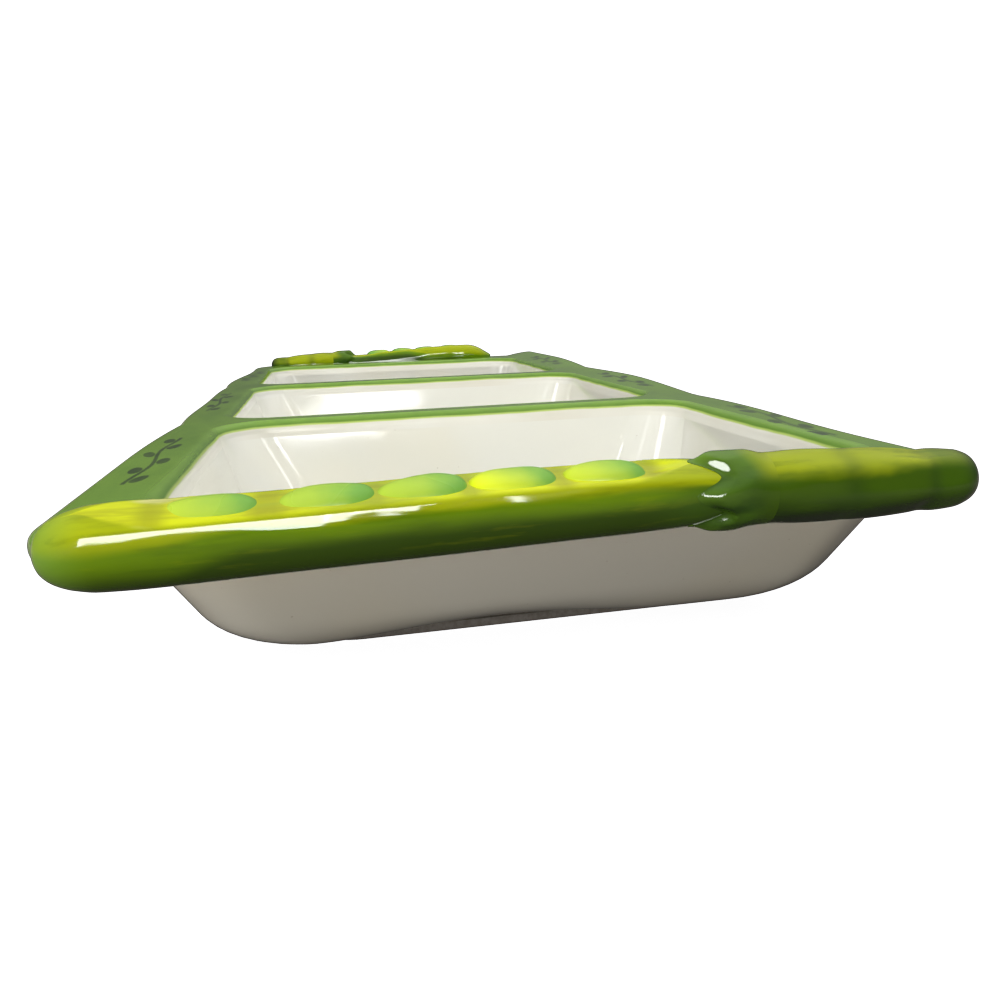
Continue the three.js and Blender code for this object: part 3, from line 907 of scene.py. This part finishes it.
class PLATTER_OT_rim(bpy.types.Operator):
    """Adds the lobed flange with a rounded lip round each well"""

    bl_idname = "platter.rim"
    bl_label = "Rim"

    def execute(self, context):
        t = context.scene.platter_tray
        outline = flange_outline(t)
        low = seam_height(t)
        turns = [k / LIP_STEPS * QUARTER for k in range(LIP_STEPS + 1)]
        rows = [(-t.edge - EDGE_BAND, low)]
        rows += [(t.edge * (math.sin(turn) - 1), low + t.edge * (1 - math.cos(turn))) for turn in turns]
        rows += [
            (t.edge * (math.cos(turn) - 1), t.rim_height - t.edge * (1 - math.sin(turn))) for turn in turns]
        rows += [(-t.edge - bands * EDGE_BAND, t.rim_height) for bands in (1, 5)]
        bm = bmesh.new()
        level, outside = layers_of(bm, "level", "outside")
        rings = loft(bm, [flange_ring(outline, out, z) for out, z in rows])
        for ring in rings:
            for vert in ring:
                vert[outside] = 1.0
        under = edges_of(bm, rings[0])
        over = edges_of(bm, rings[-1])
        for i in range(t.wells):
            sections = []
            for out, z in lip_rows(t):
                half_x = t.throat_width / 2 + out
                half_y = t.throat_length / 2 + out
                corner = corner_radius(t, out)
                sections.append(rounded_rectangle(half_x, half_y, corner, z, well_centre(t, i)))
            mouth = loft(bm, sections)
            under += edges_of(bm, mouth[0])
            over += edges_of(bm, mouth[-1])
        for border in (over, under):
            bmesh.ops.triangle_fill(bm, use_beauty=True, use_dissolve=False, edges=border)
        for vert in bm.verts:
            vert[level] = vert.co.z
            vert.co.z += flange_lift(t, vert.co.x, vert.co.y)
        material = material_of("rim_glaze", rim_glaze, context.scene.platter_glaze, t)
        piece_from(bm, "rim", material, "green_glaze", "rim_flange")
        return {"FINISHED"}


class PLATTER_OT_foot(bpy.types.Operator):
    """Adds the low foot ring under the base"""

    bl_idname = "platter.foot"
    bl_label = "Foot"

    def execute(self, context):
        t = context.scene.platter_tray
        base_out = basin_rows(t)[0][0] - t.foot_set_in
        half_x = t.throat_width / 2 + base_out
        half_y = row_length(t) / 2 + base_out
        corner = t.basin_corner - t.foot_set_in
        soft = FOOT_ROUNDING
        outer = [(0, t.foot_height), (0, soft), (0.3 * soft, 0.3 * soft), (soft, 0)]
        inner = [(t.foot_width - set_in, z) for set_in, z in reversed(outer)]
        bm = bmesh.new()
        hollow_loft(bm, [
            rounded_rectangle(half_x - set_in, half_y - set_in, corner - set_in, z)
            for set_in, z in outer + inner
        ])
        material = material_of("foot_clay", clay, context.scene.platter_glaze)
        piece_from(bm, "foot", material, "bare_clay", "foot_ring")
        return {"FINISHED"}


# Rows of the pods: a share of the length or an angle in degrees, then a radius in millimetres or a factor

POD_ROWS = {
    "near": [
        (0, 0.6), (0.004, 2.2), (0.012, 3.8), (0.028, 5.2), (0.05, 6.1), (0.08, 6.6), (0.14, 6.75),
        (0.3, 6.65), (0.5, 6.6), (0.7, 6.45), (0.85, 6.2), (0.94, 5.8), (1, 5.0),
    ],
    "far": [
        (0, 0.5), (0.01, 1.3), (0.04, 2.9), (0.08, 4.6), (0.13, 5.8), (0.2, 6.5), (0.32, 6.7), (0.5, 6.5),
        (0.7, 6.3), (0.85, 6.2), (0.94, 5.8), (1, 5.0),
    ],
}
SECTION_ROWS = [
    (-120, 1.03), (-60, 1.04), (-30, 1.045), (0, 1.03), (24, 1.05), (36, 1.08), (42, 1.09), (50, 1.055),
    (58, 1.0265), (66, 1.0095), (78, 1.0), (120, 1.02), (180, 1.03),
]
NECK_ROWS = [
    (-180, 1.0), (-100, 1.0), (-90, 0.99), (-80, 0.955), (-65, 0.91), (-45, 0.90), (-20, 0.95), (0, 1.0),
]
STEM_ROWS = [
    (0, 6.2), (0.06, 6.25), (0.18, 6.35), (0.3, 6.3), (0.37, 6.18), (0.44, 6.2), (0.56, 6.0), (0.68, 5.6),
    (0.74, 5.3), (0.8, 5.42), (0.9, 5.2), (0.955, 4.6), (0.985, 3.4), (1, 2.0),
]
CALYX_ROWS = [(0, 6.5), (0.2, 6.7), (0.45, 6.7), (0.75, 6.45), (1, 6.3)]

# Small sizes of the pods
PEA_STRAYS = {"near": (-1.6, 0.5, -0.1, -0.4, 0.0), "far": (0.0, 0.4, -0.3, 0.2, 0.0)}
PEA_BLUSHES = (0.25, 0.1, 0.15, 0.95, 0.5)
PEAS_OFF_MIDDLE = 2.75 * MM
FAR_PEA_TURN = math.radians(14)
PEA_UNDERSIDE = -0.55
STEM_DROOP = 1.2 * MM
NEAR_TIP_SINK = 1.0 * MM
NEAR_MIDDLE_RISE = 0.25 * MM
FAR_TIP_RISE = 1.6 * MM
FAR_TIP_SINK = 1.5 * MM
POD_SCALE = 0.965
POD_MOST = 7.1 * MM
TOP_GAP = 0.02 * MM
SLIT_OPENING = 14 * MM
SLIT_LEAST = 0.02
TIP_TURN = {"near": math.radians(4), "far": math.radians(10)}
BULGE = 0.1 * MM
SKIN_WANDER = 0.06 * MM
FLANK_WANDER = 0.26 * MM
FLANK_MIDDLE = 52
FLANK_SPREAD = 14
PEA_REACH = 12 * MM
NECK_DIP = 0.36
NECK_FLAT = 6.3 * MM
HIDDEN_TURN = math.radians(22)
SEPAL_TURN = math.radians(14)
SEPAL_PARTING = 0.7
SEPAL_THICKNESS = 0.2 * MM
SEPAL_EDGE = 0.12 * MM
SEPAL_FOLD = 0.2 * MM
SEPAL_LUMPS = 0.3 * MM
TOP_SEPAL = 0.5 * MM
CALYX_MOST = 7.05 * MM
CALYX_ON_POD = 3.6 * MM
CALYX_ON_STEM = 4.4 * MM
STEM_IN_CALYX = 0.6 * MM
STEM_RIDGES = 6
STEM_RIDGE = 0.16 * MM
STEM_WANDER = 0.2 * MM
FAR_STEM_LIFT = 0.45


class Pod:
    """Where the parts of one pod are. Places run along X from the tip, seen from outside the pod's end."""

    def __init__(self, tray, sizes, end):
        self.end = end
        self.near = end == "near"
        self.sizes = sizes
        self.tip = getattr(sizes, f"{end}_tip")
        self.length = getattr(sizes, f"{end}_length")
        self.stem_end = getattr(sizes, f"{end}_end")
        self.pea_count = getattr(sizes, f"{end}_peas")
        self.back = self.tip + self.length
        self.axis_y = row_length(tray) / 2 + tray.end_flange
        self.axis_z = tray.rim_height + sizes.rise
        self.slit_start = self.tip + sizes.slit_from_tip
        self.slit_end = self.back - sizes.slit_from_end
        middle = self.tip + self.length / 2 + PEAS_OFF_MIDDLE
        strays = PEA_STRAYS[end]
        self.peas = [
            middle + (i - (self.pea_count - 1) / 2) * sizes.pea_pitch + strays[i % len(strays)] * MM
            for i in range(self.pea_count)]
        self.calyx_start = self.back - sizes.sepal_overlap
        self.stem_start = self.calyx_start + sizes.calyx_length - STEM_IN_CALYX

    def along(self, x):
        """A place as a share of the pod's length from its tip."""
        return (x - self.tip) / self.length

    def from_pea(self, x):
        """The distance to the nearest pea, as a share of the pitch."""
        return min(abs(x - pea) for pea in self.peas) / self.sizes.pea_pitch

    def sag(self, x):
        """How far the axis sinks below its height at a place."""
        part = (x - self.tip) / (self.stem_end - self.tip)
        droop = STEM_DROOP * ease(0.62, 1.0, part)
        if self.near:
            tip = NEAR_TIP_SINK * (1 - ease(0.0, 0.55, part))
            return droop + tip - NEAR_MIDDLE_RISE * ease(0.3, 0.65, part)
        raised = FAR_TIP_RISE * (1 - ease(0.15, 0.62, part))
        return droop - raised + FAR_TIP_SINK * (1 - ease(0.0, 0.12, part))

    def at(self, x, outward, upward):
        """A point by its place along the pod and its distances from the axis."""
        y = self.axis_y + outward
        z = min(self.axis_z - self.sag(x) + upward, CAD_BOX[1][2] - TOP_GAP)
        return Vector((x, -y, z)) if self.near else Vector((-x, y, z))

    def around(self, x, turn, reach):
        """A point by its angle from the top towards the outside."""
        return self.at(x, reach * math.sin(turn), reach * math.cos(turn))

    def slit_turn(self, x):
        """The slit's angle from the top, which turns further outwards at the tip."""
        return self.sizes.slit_lean + TIP_TURN[self.end] * (1 - ease(0.05, 0.4, self.along(x)))

    def slit_half(self, x):
        """Half of the slit's angle at a place."""
        opened = ease(self.slit_start, self.slit_start + SLIT_OPENING, x)
        closed = 1 - ease(self.slit_end - SLIT_OPENING, self.slit_end, x)
        return self.sizes.slit_half * max(opened * closed, SLIT_LEAST) ** 0.6


def neck_reach(part, turn, reach):
    """The skin of the far pod, whose neck dips on top and is flat on its inner side."""
    inner = math.degrees(half_turn(turn))
    neck = ease(0.44, 0.54, part) * (1 - ease(0.9, 0.97, part))
    reach *= 1 + (smooth_value(NECK_ROWS, inner) - 1) * neck
    reach *= 1 - NECK_DIP * ease(0.68, 0.93, part) * max(math.cos(turn), 0.0)
    lean = abs(math.sin(math.radians(inner))) + 0.17 * math.cos(math.radians(inner))
    facing = ease(-128, -112, inner) * (1 - ease(-92, -82, inner))
    return reach + (NECK_FLAT / max(lean, 0.5) - reach) * facing * neck


def pod_reach(pod, x, turn):
    """Distance of the pod's skin from the axis, and the angle from the slit as a share of the slit's half."""
    sizes = pod.sizes
    part = pod.along(x)
    gap = half_turn(turn - pod.slit_turn(x))
    from_slit = math.degrees(gap)
    reach = smooth_value(POD_ROWS[pod.end], part) * MM
    reach *= POD_SCALE * (1 + (smooth_value(SECTION_ROWS, from_slit) - 1) * ease(0.02, 0.09, part))

    # The slit
    half = pod.slit_half(x)
    slit = abs(gap) / half
    opened = ease(0.10, 0.75, half / sizes.slit_half)
    depth = sizes.slit_depth * opened * (0.2 + 0.8 * ease(0.06, 0.3, part))
    if slit < 1:
        steep = (1 - slit ** 2) ** 1.2 if gap > 0 else (1 - slit ** 4) ** 0.9
        reach -= depth * steep

    # The bulges over the peas and the unevenness of a shape made by hand
    bulge = math.cos(min(pod.from_pea(x), 0.5) * math.pi) ** 2
    first, last = pod.peas[0], pod.peas[-1]
    beside_peas = ease(first - PEA_REACH, first, x) * (1 - ease(last, last + PEA_REACH, x))
    reach += BULGE * bulge * beside_peas * math.exp(-((slit - 1.5) / 0.8) ** 2)
    body = ease(0.0, 0.06, part)
    reach += SKIN_WANDER * body * wander(x * 45, turn * 0.8, 3.1 if pod.near else 7.7)
    flank = (from_slit - FLANK_MIDDLE) / FLANK_SPREAD
    reach += FLANK_WANDER * body * flank * math.exp(-flank ** 2) * wander(x * 62, 0.7, 9.4)
    if not pod.near:
        reach = neck_reach(part, turn, reach)
    return min(reach, POD_MOST), slit


def ring_turns(steps):
    """Angles once round."""
    return [k / steps * 2 * math.pi for k in range(steps)]


def pod_shell(pod, material):
    """The pod's skin with its open slit."""
    bm = bmesh.new()
    lift, slit_layer, along, between = layers_of(bm, "lift", "slit", "along", "between")
    places = []
    for k in range(POD_STEPS + 1):
        even = k / POD_STEPS
        crowded = even - 0.85 * math.sin(2 * math.pi * even) / (2 * math.pi)
        places.append(pod.tip + crowded * pod.length)
    turns = ring_turns(POD_ROUND)
    rings = loft(bm, [
        [pod.around(x, turn, pod_reach(pod, x, turn)[0]) for turn in turns] for x in places])
    for x, ring in zip(places, rings):
        part = pod.along(x)
        nearest = pod.from_pea(x)
        # lift: how far up the skin faces, less painted shade on its inner side; on the far pod that shade
        # starts near its middle, and its tip side is a little lighter
        dark = 0.5 if pod.near else 0.7 * ease(0.42, 0.6, part) - 0.15
        for turn, vert in zip(turns, ring):
            vert[lift] = math.cos(turn) - dark * max(-math.sin(turn), 0.0)
            slit = min(pod_reach(pod, x, turn)[1], 4.0)
            hidden = not pod.near and (turn > math.pi or turn < HIDDEN_TURN)
            vert[slit_layer] = max(slit, 1.5) if hidden else slit
            vert[along] = part
            vert[between] = ease(0.3, 0.5, nearest) * (1 - ease(0.55, 0.75, nearest))
    pole(bm, rings[0])
    cap(bm, rings[-1])
    piece_from(bm, f"{pod.end}_pod_skin", material, "pod_glaze", f"{pod.end}_pod_shell")


def pea_piece(pod, i, material):
    """One pea: a long bean pressed flat where it sits, a little fuller at one end."""
    sizes = pod.sizes
    size = 1 + 0.05 * wander(i * 1.7, 0.3, 2.2 if pod.near else 8.1)
    turn = sizes.pea_lean + (0.0 if pod.near else FAR_PEA_TURN)
    rise = sizes.pea_rise - (0.1 if pod.near else 0.5) * MM
    tilt = 0.10 * wander(i * 2.3, 1.4, 4.0)
    bm = bmesh.new()
    bmesh.ops.create_uvsphere(bm, u_segments=PEA_ROUND, v_segments=PEA_STEPS, radius=1.0)
    along, blush = layers_of(bm, "along", "blush")
    for vert in bm.verts:
        x, y, z = vert.co
        vert[along] = x
        vert[blush] = PEA_BLUSHES[i % len(PEA_BLUSHES)] * ease(-0.3, 0.8, -0.75 * x + 0.45 * y)
        full = (1 + 0.08 * x) * max(1 - x * x, 0.03) ** -0.14
        full *= 1 + 0.07 * wander(1.4 * x + 3.1 * i, 1.4 * y, 1.4 * z)
        dent = 0.05 * math.exp(-((x - 0.15) / 0.25) ** 2 - ((y - 0.1) / 0.4) ** 2) if z > 0 else 0.0
        pressed = z * (1 - dent) if z > PEA_UNDERSIDE else PEA_UNDERSIDE + 0.35 * (z - PEA_UNDERSIDE)
        lengthwise = sizes.pea_half_length * size * math.copysign(abs(x) ** 0.8, x)
        outward = sizes.pea_half_width * size * full * y
        upward = rise + sizes.pea_half_depth * size * full * pressed + tilt * lengthwise
        vert.co = pod.at(
            pod.peas[i] + lengthwise,
            upward * math.sin(turn) + outward * math.cos(turn),
            upward * math.cos(turn) - outward * math.sin(turn))
    bmesh.ops.smooth_vert(
        bm, verts=bm.verts, factor=0.4, use_axis_x=True, use_axis_y=True, use_axis_z=True)
    piece_from(bm, f"{pod.end}_bean_{i + 1}", material, "pea_glaze", f"{pod.end}_pea_{i + 1}")


def sepal_share(pod, turn):
    """1 along the middle of a sepal and 0 between two of them."""
    return math.cos(pod.sizes.sepals * (turn - SEPAL_TURN) / 2) ** 2


def calyx_reach(pod, x, turn, part):
    """Distance of the calyx's skin from the axis. Where part is None, it is the hidden inner side."""
    if part is None:
        return CALYX_ON_POD if x < pod.back else CALYX_ON_STEM
    under = pod_reach(pod, x, turn)[0] if x < pod.back else 0.0
    own = smooth_value(CALYX_ROWS, part) * MM
    back = ease(0.45, 1.0, part)
    fold = SEPAL_FOLD * sepal_share(pod, turn) * (1 - back)
    lumps = SEPAL_LUMPS * wander(x * 210, turn * 2.6, 1.5)
    edge = 1 - ease(0.0, 0.3, part)
    top = TOP_SEPAL * math.exp(-((turn - 0.15) / 0.5) ** 2) * (1 - ease(0.75, 1.0, part))
    reach = max(own, under + SEPAL_THICKNESS) + fold + top + lumps * (1 - back)
    if under:
        reach = reach * (1 - edge) + (under + SEPAL_EDGE) * edge
    return min(reach, CALYX_MOST)


def calyx_piece(pod, material):
    """The calyx: a sleeve that parts into pointed sepals lying over the pod's end."""
    sizes = pod.sizes
    bm = bmesh.new()
    lift, ridge, along = layers_of(bm, "lift", "ridge", "along")
    turns = ring_turns(CALYX_ROUND)
    end_x = pod.calyx_start + sizes.calyx_length
    fronts = []
    for turn in turns:
        stray = 0.2 * wander(turn * 2.0, 0.0, 6.0 if pod.near else 9.0)
        notch = sizes.sepal_overlap * SEPAL_PARTING * (1 - sepal_share(pod, turn)) * (1 + stray)
        fronts.append(pod.calyx_start + notch)
    rows = [[(front, turn, None) for front, turn in zip(fronts, turns)]]
    for k in range(CALYX_STEPS + 1):
        part = k / CALYX_STEPS
        rows.append([(front + part * (end_x - front), turn, part) for front, turn in zip(fronts, turns)])
    rows.append([(end_x, turn, None) for turn in turns])
    rings = hollow_loft(bm, [
        [pod.around(x, turn, calyx_reach(pod, x, turn, part)) for x, turn, part in row] for row in rows])
    for row, ring in zip(rows, rings):
        for (x, turn, part), vert in zip(row, ring):
            # How far up the skin faces, for the painted light on the calyx's top
            vert[lift] = math.cos(turn)
            vert[along] = 0.0 if part is None else part
            vert[ridge] = 0.0 if part is None else sepal_share(pod, turn) ** 3 * (1 - ease(0.3, 0.8, part))
    piece_from(bm, f"{pod.end}_sepals", material, "calyx_glaze", f"{pod.end}_pod_calyx")


def stem_reach(x, turn, part):
    """Distance of the stem's skin from the axis."""
    ridges = math.cos(STEM_RIDGES * turn + 2 * part) * ease(0, 0.2, part) * (1 - ease(0.8, 1, part))
    uneven = wander(x * 70, turn * 1.2, 2.4) * ease(0, 0.15, part) * (1 - ease(0.9, 1, part))
    return smooth_value(STEM_ROWS, part) * MM + STEM_RIDGE * ridges + STEM_WANDER * uneven


def stem_piece(pod, material):
    """The thick stem with its growth rings and blunt cut end."""
    bm = bmesh.new()
    lift, along, ring_shade = layers_of(bm, "lift", "along", "rings")
    turns = ring_turns(STEM_ROUND)
    parts = [1 - (1 - k / STEM_STEPS) ** 1.35 for k in range(STEM_STEPS + 1)]
    sections = []
    for part in parts:
        x = pod.stem_start + part * (pod.stem_end - pod.stem_start)
        sections.append([pod.around(x, turn, stem_reach(x, turn, part)) for turn in turns])
    rings = capped_loft(bm, sections)
    for part, ring in zip(parts, rings):
        for turn, vert in zip(turns, ring):
            # lift: how far up the skin faces; the far stem gets a fixed amount more, so it shows yellower all
            # round
            vert[lift] = math.cos(turn) + (0.0 if pod.near else FAR_STEM_LIFT)
            vert[along] = part
            # ring_shade: painted shade in the two constrictions, weaker on the upper side
            stray = 0.012 * wander(turn * 1.5, 0.4, 3.3)
            first = math.exp(-((part - 0.36 + stray) / 0.055) ** 2)
            second = math.exp(-((part - 0.745 + stray) / 0.03) ** 2)
            low_side = 1 - 0.6 * max(math.cos(turn), 0.0)
            vert[ring_shade] = (0.6 * first + 0.75 * second) * low_side
    piece_from(bm, f"{pod.end}_stalk", material, "stem_glaze", f"{pod.end}_pod_stem")


def add_pod(context, end):
    """Adds one pod with its peas, calyx and stem."""
    scene = context.scene
    pod = Pod(scene.platter_tray, scene.platter_pods, end)
    c = scene.platter_glaze
    pod_shell(pod, material_of("pod_brushwork", pod_glaze, c))
    for i in range(pod.pea_count):
        pea_piece(pod, i, material_of("pea_brushwork", pea_glaze, c))
    calyx_piece(pod, material_of("sepal_brushwork", calyx_glaze, c))
    stem_piece(pod, material_of("stalk_brushwork", stem_glaze, c))


class PLATTER_OT_near_pod(bpy.types.Operator):
    """Adds the pod along the near end, with its peas, calyx and stem"""

    bl_idname = "platter.near_pod"
    bl_label = "Near pod"

    def execute(self, context):
        add_pod(context, "near")
        return {"FINISHED"}


class PLATTER_OT_far_pod(bpy.types.Operator):
    """Adds the shorter pod along the far end, with its peas, calyx and stem"""

    bl_idname = "platter.far_pod"
    bl_label = "Far pod"

    def execute(self, context):
        add_pod(context, "far")
        return {"FINISHED"}


# Stage

FLOOR_HALF = 6.0
FLOOR_CELLS = 8
CAMERA_PLACE = (-0.040316, -0.328332, 0.069398)
CAMERA_FORWARD = (0.19522, 0.95231, -0.23451)
CAMERA_RIGHT = (0.97767, -0.20794, -0.03055)
SENSOR = 36.0
WASH_POWER = 16.0
BACKDROP = 1.15
ROOM_TINT = (0.97, 0.98, 1.0)
FILL_TINT = (1.0, 0.94, 0.86)

# Panes of the window, by the turn and the climb in degrees at which the near end sees them
PANE_REACH = 14.0
PANES_AIM = Vector((-0.04, -0.21, 0.04))
PANES = (
    ("window_over_wells", -13.5, 14.0, 33.0, 21.0, 26.0, "wells"),
    ("strip_over_wells", 13.0, 14.0, 2.6, 21.0, 26.0, "wells"),
    ("window_upper", 2.4, 34.2, 5.2, 1.9, 12.0, "wells"),
    ("window_upper_2", 4.9, 36.1, 4.4, 1.9, 12.0, "wells"),
    ("left_pane", -45.0, 50.0, 6.0, 14.0, 2.0, "wells"),
    ("left_pane_2", -92.0, 43.0, 8.0, 14.0, 6.0, "wells"),
    ("right_pane", 35.0, 45.5, 5.0, 12.0, 5.0, "wells"),
    ("window", -17.5, 14.0, 31.0, 21.0, 26.0, "painted_pieces"),
    ("window_step", 0.0, 17.0, 4.0, 15.0, 26.0, "painted_pieces"),
    ("window_step_2", 3.5, 19.5, 3.0, 10.0, 26.0, "painted_pieces"),
    ("window_step_3", 6.5, 22.0, 3.0, 5.0, 26.0, "painted_pieces"),
    ("window_strip", 13.6, 16.0, 2.2, 15.0, 26.0, "painted_pieces"),
)


def add_floor(paper):
    """The pale floor, set to catch shadows over the white backdrop."""
    bm = bmesh.new()
    bmesh.ops.create_grid(bm, x_segments=FLOOR_CELLS, y_segments=FLOOR_CELLS, size=FLOOR_HALF)
    mesh = bpy.data.meshes.new("floor")
    bm.to_mesh(mesh)
    bm.free()
    mesh.materials.append(floor_paper(paper))
    floor = new_object("floor", mesh)
    floor.is_shadow_catcher = True
    return floor


def add_camera(scene, focal):
    """The camera at the photograph's viewing angle."""
    forward = Vector(CAMERA_FORWARD).normalized()
    right = Vector(CAMERA_RIGHT)
    right = (right - forward * right.dot(forward)).normalized()
    up = right.cross(forward)
    data = bpy.data.cameras.new("camera")
    data.lens = focal
    data.sensor_width = SENSOR
    data.clip_start = 0.01
    data.clip_end = 60.0
    camera = new_object("camera", data)
    turn = Matrix((right, up, -forward)).transposed().to_4x4()
    camera.matrix_world = Matrix.Translation(CAMERA_PLACE) @ turn
    scene.camera = camera


def group_of(name, items):
    """A collection of the pieces that a light is linked to."""
    group = bpy.data.collections.new(name)
    for item in items:
        group.objects.link(item)
    return group


def area_light(name, place_at, aim, width, height, watts, lit=None, tint=(1, 1, 1)):
    """A rectangular light that is turned to a point. Where it is given a group, it reaches only that."""
    data = bpy.data.lights.new(name, "AREA")
    data.shape = "RECTANGLE"
    data.size = width
    data.size_y = height
    data.energy = watts
    data.color = tint
    light = new_object(name, data)
    light.location = place_at
    light.rotation_euler = (Vector(aim) - Vector(place_at)).to_track_quat("-Z", "Y").to_euler()
    if lit:
        light.light_linking.receiver_collection = lit
    return light


def add_window(groups):
    """The panes that the glazes mirror. They give no soft light of their own."""
    for name, across, rise, wide, tall, shine, lit in PANES:
        turn = math.radians(across)
        climb = math.radians(rise)
        flat = math.cos(climb)
        spot = PANES_AIM + PANE_REACH * Vector((
            math.sin(turn) * flat, -math.cos(turn) * flat, math.sin(climb)))
        width = 2 * PANE_REACH * math.tan(math.radians(wide) / 2)
        height = 2 * PANE_REACH * math.tan(math.radians(tall) / 2)
        pane = area_light(name, spot, PANES_AIM, width, height, shine * math.pi * width * height, groups[lit])
        pane.visible_diffuse = False


def add_lights(s, floor):
    """The window, the soft lights, and a light for the floor alone."""
    pieces = [item for item in bpy.context.scene.objects if item.type == "MESH" and item != floor]
    white = [item for item in pieces if "basin_white" in item.data.materials]
    painted = [item for item in pieces if item not in white and item.name not in ("far_stalk", "far_sepals")]
    groups = {"wells": group_of("wells", white), "painted_pieces": group_of("painted_pieces", painted)}
    above_shade = group_of("above_shade", [item for item in pieces if item.name not in ("basin", "foot")])
    off_floor = group_of("off_floor", [item for item in pieces if item.name != "foot"])
    add_window(groups)
    soft = (
        area_light("front", (-0.5, -1.5, 1.0), (0, 0, 0.03), 1.2, 0.9, s.window_power, above_shade),
        area_light(
            "fill", (-0.45, -0.5, 0.06), (-0.06, -0.2, 0.02), 0.3, 0.12, s.fill_power, off_floor, FILL_TINT),
        area_light("ceiling", (0.0, 0.15, 1.5), (0, 0, 0), 1.8, 1.8, s.ceiling_power),
    )
    for light in soft:
        light.visible_glossy = False
    wash = bpy.data.lights.new("floor_wash", "SUN")
    wash.energy = WASH_POWER
    wash.use_shadow = False
    wash_light = new_object("floor_wash", wash)
    wash_light.light_linking.receiver_collection = group_of("only_floor", [floor])


def add_room(scene, strength):
    """A white backdrop for the camera, and an uneven soft room that lights the pieces."""
    world = bpy.data.worlds.new("room")
    scene.world = world
    scene.view_settings.view_transform = "Standard"
    world.use_nodes = True
    n = Nodes(world.node_tree)
    output = n.add("OutputWorld")
    shown = n.add("Background")
    lit = n.add("Background")
    mix = n.add("MixShader")
    x, y, z = n.axes("Generated")
    upper = n.span(z, 0.1, 0.9, 0.35, 1.6)
    front_side = n.span(y, -0.9, 0.4, 0.8, 1.3)
    sideways = n.span(x, -0.35, 0.3, 0.55, 1.25)
    n.put(shown.inputs["Color"], (1, 1, 1))
    n.put(shown.inputs["Strength"], BACKDROP)
    n.put(lit.inputs["Color"], ROOM_TINT)
    n.put(lit.inputs["Strength"], n.times(n.times(n.times(upper, front_side), sideways), strength))
    n.put(mix.inputs["Fac"], n.add("LightPath").outputs["Is Camera Ray"])
    n.put(mix.inputs[1], lit.outputs[0])
    n.put(mix.inputs[2], shown.outputs[0])
    n.put(output.inputs["Surface"], mix.outputs[0])


class PLATTER_OT_stage(bpy.types.Operator):
    """Adds the pale floor, the soft lights and the camera"""

    bl_idname = "platter.stage"
    bl_label = "Stage"

    def execute(self, context):
        scene = context.scene
        s = scene.platter_stage
        floor = add_floor(s.floor)
        add_camera(scene, s.focal)
        add_lights(s, floor)
        add_room(scene, s.room)
        return {"FINISHED"}


class PLATTER_PT_panel(bpy.types.Panel):
    """Lists the steps of the platter"""

    bl_idname = "PLATTER_PT_panel"
    bl_label = "Divided platter"
    bl_space_type = "VIEW_3D"
    bl_region_type = "UI"
    bl_category = "Platter"

    def draw(self, context):
        for operator in OPERATORS:
            self.layout.operator(operator.bl_idname)


OPERATORS = (
    PLATTER_OT_basin, PLATTER_OT_dividers, PLATTER_OT_rim, PLATTER_OT_foot,
    PLATTER_OT_near_pod, PLATTER_OT_far_pod, PLATTER_OT_stage,
)
SETTINGS = {
    "platter_tray": TraySizes, "platter_pods": PodSizes,
    "platter_glaze": GlazeColours, "platter_stage": StageSettings,
}
CLASSES = (*SETTINGS.values(), *OPERATORS, PLATTER_PT_panel)


def register():
    for cls in CLASSES:
        bpy.utils.register_class(cls)
    for name, group in SETTINGS.items():
        setattr(bpy.types.Scene, name, bpy.props.PointerProperty(type=group))


def unregister():
    for name in SETTINGS:
        delattr(bpy.types.Scene, name)
    for cls in reversed(CLASSES):
        bpy.utils.unregister_class(cls)


def main():
    register()
    bpy.ops.platter.basin()
    bpy.ops.platter.dividers()
    bpy.ops.platter.rim()
    bpy.ops.platter.foot()
    bpy.ops.platter.near_pod()
    bpy.ops.platter.far_pod()
    bpy.ops.platter.stage()


if __name__ == "__main__":
    main()
